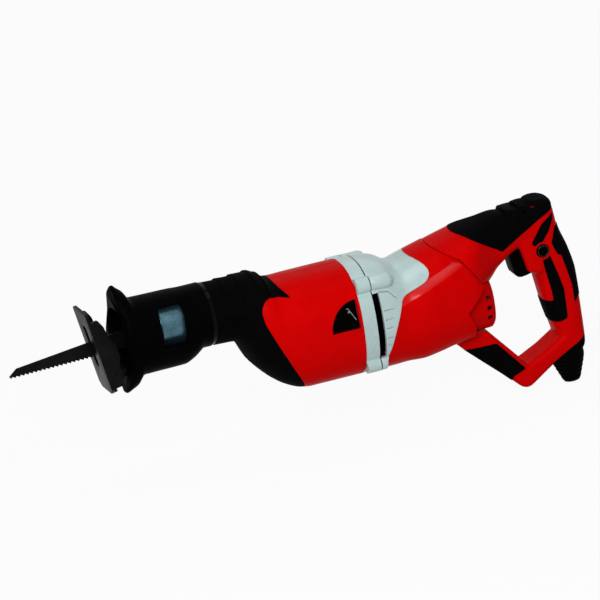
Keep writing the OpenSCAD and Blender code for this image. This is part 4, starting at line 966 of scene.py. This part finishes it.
def make_top_steps():
    """Three steps that rise towards the grip, as high as the pad is proud."""
    line = [(BARREL_X1 + 50, 31, -17, GRIP_HALF + 2.6, GRIP_ROUND)] + [
        (x, crest + 0.6, -8, GRIP_HALF + 0.8, GRIP_ROUND) for x, foot, crest in TOP_STEPS]
    top = skin("top_steps", [ring_across_x(line, x, PAD_PROUD - 0.05) for x in steps(line[0][0], line[-1][0])])
    plates = []
    for (x, foot, crest), (x1, foot1, _) in zip(TOP_STEPS, TOP_STEPS[1:]):
        low, end = foot - 7, x1 + 0.3
        edge = [(x, low), (x, crest + PAD_PROUD), (end, foot1 + PAD_PROUD), (end, low)]
        plates.append(across("step", edge, 40))
    for plate in plates[1:]:
        weld(plates[0], plate)
    return trim(top, plates[0])


def trigger_edge(swing, grow=0.0):
    c, s = math.cos(math.radians(swing)), math.sin(math.radians(swing))
    return [(TRIGGER_PIVOT[0] + x * c - z * s, TRIGGER_PIVOT[1] + x * s + z * c)
            for x, z in grow_outline(TRIGGER_EDGE, grow)]


def boot_axis(depth):
    lean = math.radians(BOOT_LEAN)
    return (BOOT_AT[0] - math.sin(lean) * depth, 0, BOOT_AT[1] + math.cos(lean) * depth)


def pad_tools(name, reach, grow=0.0):
    """Plates with the side outlines of all pads, as one tool."""
    edges = [grow_outline(edge, grow) if grow else edge for edge in PAD_EDGES]
    return gather(name, *[across("pad_side", round_outline(edge, 1.5, 3), reach) for edge in edges])


def barrel_front():
    return across("barrel_front", grow_outline(BARREL_SEAM, 0.4))


def button_bar(name, y0, y1, radius):
    x, z = BUTTON_AT
    return round_bar(name, (x, y0, z), (x, y1, z), radius)


def make_handle():
    body = make_handle_body()
    pad_sides = pad_tools("pad_sides", 60)
    pad_beds = pad_tools("pad_beds", 61, FIT)
    barrel = barrel_outer("barrel_room", FIT)
    weld(barrel, body_blank("barrel_inside", SEAM_X, REAR_X + 1, -BARREL_WALL))

    skin_pads = swollen(body, "pads", PAD_PROUD)
    weld(skin_pads, make_top_steps())
    trim(skin_pads, pad_sides)
    cut(skin_pads, swollen(body, "pad_floor", FIT - PAD_T))
    cut(skin_pads, barrel, keep=True)
    cut(skin_pads, barrel_front())
    for x, z in TOP_SLOTS:
        for middle in (-20, 20):
            cut(skin_pads, block("slot", (x - 2.2, middle - 10, z - 0.9), (x + 2.2, middle + 10, z + 0.9)))
    cut(skin_pads, button_bar("button_room", -30, 0, BUTTON_R + BUTTON_WALL + FIT))

    shell = copy_of(body, "handle_shell")
    cut(shell, pad_beds)
    weld(shell, swollen(body, "shell_floor", -PAD_T))
    cut(shell, barrel)
    cut(shell, barrel_front())
    for swing in (0, TRIGGER_SWING / 2, TRIGGER_SWING):
        cut(shell, across("trigger_room", trigger_edge(swing, 0.6), TRIGGER_HALF + 0.5))
    weld(shell, button_bar("boss", BUTTON_Y + 1.4, -8, BUTTON_R + BUTTON_WALL))
    cut(shell, button_bar("hole", BUTTON_Y - 4, -6, BUTTON_R + 0.4))
    cut(shell, round_bar("boot_room", boot_axis(3), boot_axis(-18), BOOT_R + FIT))
    cut(shell, across("cap_room", grow_outline(BOOT_CAP_EDGE, FIT), 60))
    for side, node in ((-1, "handle_left"), (1, "handle_right")):
        half = one_side(shell, node + "_shell", side, side * PARTING)
        finish_piece(half, RED, "housing", node, slot="red_shell")
    bpy.data.objects.remove(shell)
    share_out_pads(skin_pads)
    make_boot(body)


def share_out_pads(all_pads):
    """Sorts the cut skins into the pads that the maker fits one by one."""
    arm_x, leg_x, rear_x = GRIP_REAR - 60, GRIP_REAR - 45, GRIP_REAR - 13
    top_z, arm_z, side_y = 14, -40, 4
    edit(all_pads)
    bpy.ops.mesh.separate(type="LOOSE")
    close(all_pads)
    groups = {}
    for piece in list(bpy.context.selected_objects):
        corners = [v.co / MM for v in piece.data.vertices]
        x, y, z = (sum(c[axis] for c in corners) / len(corners) for axis in range(3))
        if z > top_z or x < arm_x and z > arm_z:
            key = "top_pad"
        elif x < leg_x:
            key = "leg_pad"
        elif x > rear_x:
            key = "rear_pad"
        else:
            key = "left_grip_pads" if y < -side_y else "right_grip_pads" if y > side_y else "palm"
        groups.setdefault(key, []).append(piece)
    for palm in groups.pop("palm", []):
        for side, key in ((-1, "left_grip_pads"), (1, "right_grip_pads")):
            groups.setdefault(key, []).append(one_side(palm, "palm_half", side))
        bpy.data.objects.remove(palm)
    for node, pieces in groups.items():
        pad = gather(node + "_skin", *pieces)
        finish_piece(pad, RUBBER, "housing", node, slot="soft_black")


def make_trigger():
    trigger = side_plate("trigger_blade", trigger_edge(0), -TRIGGER_HALF, TRIGGER_HALF)
    soften(trigger, 1.6, 3, 60)
    x, z = SPRING_AT
    cut(trigger, round_bar("spring_pocket", (x - 5, 0, z), (x + 20, 0, z), SPRING_ROOM_R))
    return finish_piece(trigger, PLASTIC, "trigger", "trigger", slot="black_plastic")


def lathe(name, profile, origin, axis, sides=64):
    """Turned piece: a profile of (radius, depth) pairs spun round an axis."""
    axis = Vector(axis).normalized()
    outwards = axis.orthogonal().normalized()
    origin = Vector(origin) * MM
    clear_selection()
    bpy.ops.mesh.primitive_circle_add(vertices=len(profile), radius=1)
    piece = named(name)
    for corner, (r, depth) in zip(piece.data.vertices, profile):
        corner.co = origin + outwards * r * MM + axis * depth * MM
    edit(piece)
    bpy.ops.mesh.spin(steps=sides, angle=2 * math.pi, center=origin, axis=axis, use_auto_merge=True)
    bpy.ops.mesh.select_all(action="SELECT")
    bpy.ops.mesh.remove_doubles(threshold=MERGE)
    return close_facing_out(piece)


def make_lock_button():
    r, length, pocket_r, pocket_floor, centre = BUTTON_R, 7.6, 3.4, 4.2, 0.02
    crown = [(0.6, 0.1), (0.74, 0.3), (0.85, 0.7), (0.93, 1.2), (0.98, 1.8), (1, 2.4)]
    profile = [(centre, 0)] + [(r * share, depth) for share, depth in crown] + [
        (r, length), (pocket_r, length), (pocket_r, pocket_floor), (centre, pocket_floor)]
    place = (BUTTON_AT[0], BUTTON_Y, BUTTON_AT[1])
    button = lathe("lock_button_cap", profile, place, (0, 1, 0))
    finish_piece(button, PLASTIC, "lock_button", "lock_button", slot="black_plastic")
    thick, sink = 0.55, 0.75
    bead = [(r * 0.8 + thick * math.cos(a), sink - thick * math.sin(a)) for a in (i * math.pi / 6 for i in range(12))]
    rim = lathe("lock_button_rim", bead, place, (0, 1, 0))
    return finish_piece(rim, GLOSSY, "lock_button", slot="black_plastic")


def make_boot(handle_body):
    bore, pitch = 4, 4.6
    profile = [(bore, -1), (12, -1), (12, 5), (BOOT_R, 8), (BOOT_R, 14)]
    for i in range(5):
        z = 15 + pitch * i
        r = mix(BOOT_R, 8, max(0, z - 16) / 23)
        profile += [(r, z), (r - 1.1, z + 0.4), (r - 1.2, z + 1.2), (r - 0.3, z + 1.7)]
    profile += [(8.2, 38), (7.6, 39), (bore, 39)]
    lean = math.radians(BOOT_LEAN)
    boot = lathe("cord_boot_skin", profile, (BOOT_AT[0], 0, BOOT_AT[1]), (math.sin(lean), 0, -math.cos(lean)))
    trim(handle_body, across("cap_side", BOOT_CAP_EDGE, 60))
    cut(handle_body, round_bar("bore", boot_axis(14), boot_axis(-40), bore))
    weld(boot, handle_body)
    return finish_piece(boot, RUBBER, "housing", "cord_boot", "boot_cap", slot="soft_black")


def in_selector_place(piece, turn=0.0):
    """Moves a piece from the selector's own frame to its place in the left cover."""
    piece.matrix_world = (Matrix.Translation(Vector(SELECTOR_AT) * MM)
                          @ Matrix.Rotation(math.radians(-SELECTOR_TILT), 4, "X")
                          @ Matrix.Rotation(math.radians(turn), 4, "Y"))
    return settle(piece)


def make_selector():
    arm = [(-3.2, 0), (-2.4, 17), (-0.8, 18), (2.4, 16), (3.6, 0)]
    lever = in_selector_place(side_plate("selector_lever_arm", round_outline(arm, 1.2, 3), 0.2, 2.8), LEVER_TURN)
    hub = in_selector_place(round_bar("hub", (0, -0.6, 0), (0, 5, 0), 4.2))
    weld(lever, hub)
    soften(lever, 0.4, 2, 40)
    finish_piece(lever, PLASTIC, "selector", "selector_lever", slot="black_plastic")
    # Painted highlight along the lever's edge, and a painted glint ring near its hub
    strip = [(-2.2, 16.0), (-0.9, 16.7), (3.3, 3.0), (2.9, 2.8), (-1.0, 16.0), (-2.1, 15.5)]
    line = in_selector_place(side_plate("selector_glint_line", strip, 0.05, 0.5), LEVER_TURN)
    finish_piece(line, PAINTED_GLINT, "selector", slot="silver_paint")
    eye = [(0.7, 0.05), (1.0, 0.05), (1.0, 0.5), (0.7, 0.5)]
    ring = lathe("selector_glint_eye", eye, (-0.9, 0, 12.6), (0, 1, 0), 32)
    in_selector_place(ring, LEVER_TURN)
    finish_piece(ring, PAINTED_GLINT, "selector", slot="silver_paint")


def make_shoe():
    """Bent shoe: slotted face, two cheeks and a turned-in lip, leaning with the nose."""
    half, up, down, lean = 18.5, 33, 51, -11
    face = [(-half, up - 2), (-half + 2, up), (half - 2, up), (half, up - 2), (half, 5 - down), (half - 5, -down),
            (5 - half, -down), (-half, 5 - down)]
    plate = side_plate("shoe_plate_skin", round_outline(face, 2, 4), 0, 3)
    plate.matrix_world = Matrix.Rotation(math.radians(-90), 4, "Z")
    settle(plate)
    cut(plate, block("slot", (-4, -5, -25), (7, 5, 17), 2))
    cheek = [(0.5, up - 9), (9.5, up - 9), (13, up - 17), (14.5, 2), (18.5, -6), (18.5, -19), (15.5, -25), (15, -38),
             (12, 5 - down), (0.5, 5 - down)]
    thick, inset = 2.5, 1.3
    for side in (-1, 1):
        y0 = side * (half - inset) - thick / 2
        weld(plate, side_plate("cheek", round_outline(cheek, 1.5, 3), y0, y0 + thick))
    weld(plate, block("lip", (0.3, 5.3 - half, -down + 0.1), (6.5, half - 5.3, -down + 2)))
    plate.matrix_world = Matrix.Rotation(math.radians(lean), 4, "Y")
    settle(plate)
    pin_x, pin_z, pin_room = 16.5, -34, 3.05
    cut(plate, round_bar("pin_room", (pin_x, -30, pin_z), (pin_x, 30, pin_z), pin_room))
    soften(merge_slivers(plate), 0.6, 3, 40)
    finish_piece(plate, DARK_STEEL, "shoe", "shoe_plate", slot="dark_steel")


# Stage

# Rays that see the plain white surroundings
PLAIN_RAYS = ("Is Camera Ray", "Is Glossy Ray", "Is Transmission Ray")
FLOOR_Z = -0.1525


def make_stage():
    clear_selection()
    bpy.ops.mesh.primitive_plane_add(size=12, location=(0.2, 0, FLOOR_Z))
    floor = bpy.context.object
    floor.name = "floor"
    finish = Finish("pale_floor", Specular_IOR_Level=0.0, Roughness=1.0)
    grain = finish.noise(30.0, 3.0)
    finish.set("Base Color", finish.blend(grain, rgba(206, 206, 206), rgba(212, 212, 212)))
    camera, glossy, through = (finish.node("ShaderNodeLightPath", out=ray) for ray in PLAIN_RAYS)
    glow = finish.node("ShaderNodeEmission", sockets={"Color": (1, 1, 1, 1), "Strength": 1.0})
    mixed = finish.node("ShaderNodeMixShader", sockets={
        0: (camera + glossy + through) * 0.94, 1: Wire(finish, finish.surface.outputs[0]), 2: glow})
    finish.tree.links.new(mixed.socket, finish.tree.nodes["Material Output"].inputs["Surface"])
    floor.data.materials.append(finish.material)


def make_light():
    world = bpy.data.worlds.new("studio")
    bpy.context.scene.world = world
    world.use_nodes = True
    tree = world.node_tree
    back = tree.nodes["Background"]
    back.inputs["Color"].default_value = (1, 1, 1, 1)
    back.inputs["Strength"].default_value = 0.22
    white = tree.nodes.new("ShaderNodeBackground")
    white.inputs["Strength"].default_value = 1.0
    path = tree.nodes.new("ShaderNodeLightPath")
    seen = path.outputs[PLAIN_RAYS[0]]
    for kind in PLAIN_RAYS[1:]:
        either = tree.nodes.new("ShaderNodeMath")
        either.operation = "MAXIMUM"
        tree.links.new(seen, either.inputs[0])
        tree.links.new(path.outputs[kind], either.inputs[1])
        seen = either.outputs[0]
    both = tree.nodes.new("ShaderNodeMixShader")
    tree.links.new(seen, both.inputs[0])
    tree.links.new(back.outputs[0], both.inputs[1])
    tree.links.new(white.outputs[0], both.inputs[2])
    tree.links.new(both.outputs[0], tree.nodes["World Output"].inputs["Surface"])
    aim = Vector((0.2, 0, -0.04))
    for name, place, size, power in (
            ("key", (-0.5, -1.8, 1.2), 1.0, 36.0),
            ("top", (0.2, -0.2, 2.1), 1.4, 8.0),
            ("back", (0.9, 1.2, 1.4), 1.4, 3.0)):
        lamp = bpy.data.lights.new(name, "AREA")
        lamp.shape, lamp.size, lamp.energy = "DISK", size, power
        ob = bpy.data.objects.new(name, lamp)
        ob.location = place
        ob.rotation_euler = (aim - Vector(place)).to_track_quat("-Z", "Y").to_euler()
        bpy.context.collection.objects.link(ob)


def make_camera():
    """Long lens from the left front, 17 degrees round and 19 up, with the picture turned a little."""
    right = Vector((0.9325, -0.3343, -0.1365)).normalized()
    up = Vector((0.2322, 0.2659, 0.9356))
    up = (up - right * up.dot(right)).normalized()
    back = right.cross(up)
    lens = bpy.data.cameras.new("camera")
    lens.lens, lens.sensor_width, lens.clip_end = 1200, 36, 100
    picture_width = 0.558
    far = picture_width * lens.lens / lens.sensor_width
    place = right * 0.1948 + up * 0.0391 + back * (far - 0.068)
    camera = bpy.data.objects.new("camera", lens)
    camera.matrix_world = Matrix.Translation(place) @ Matrix((right, up, back)).transposed().to_4x4()
    bpy.context.collection.objects.link(camera)
    bpy.context.scene.camera = camera


bpy.context.scene.view_settings.view_transform = "Standard"
make_camera()
make_light()
make_stage()
dress_solids()
make_collar()
make_front_grip()
make_front_covers()
make_clamp_ring()
make_seam_gasket()
make_motor_shell()
make_motor_barrel()
make_rear_vent()
make_handle()
make_trigger()
make_lock_button()
make_selector()
make_shoe()
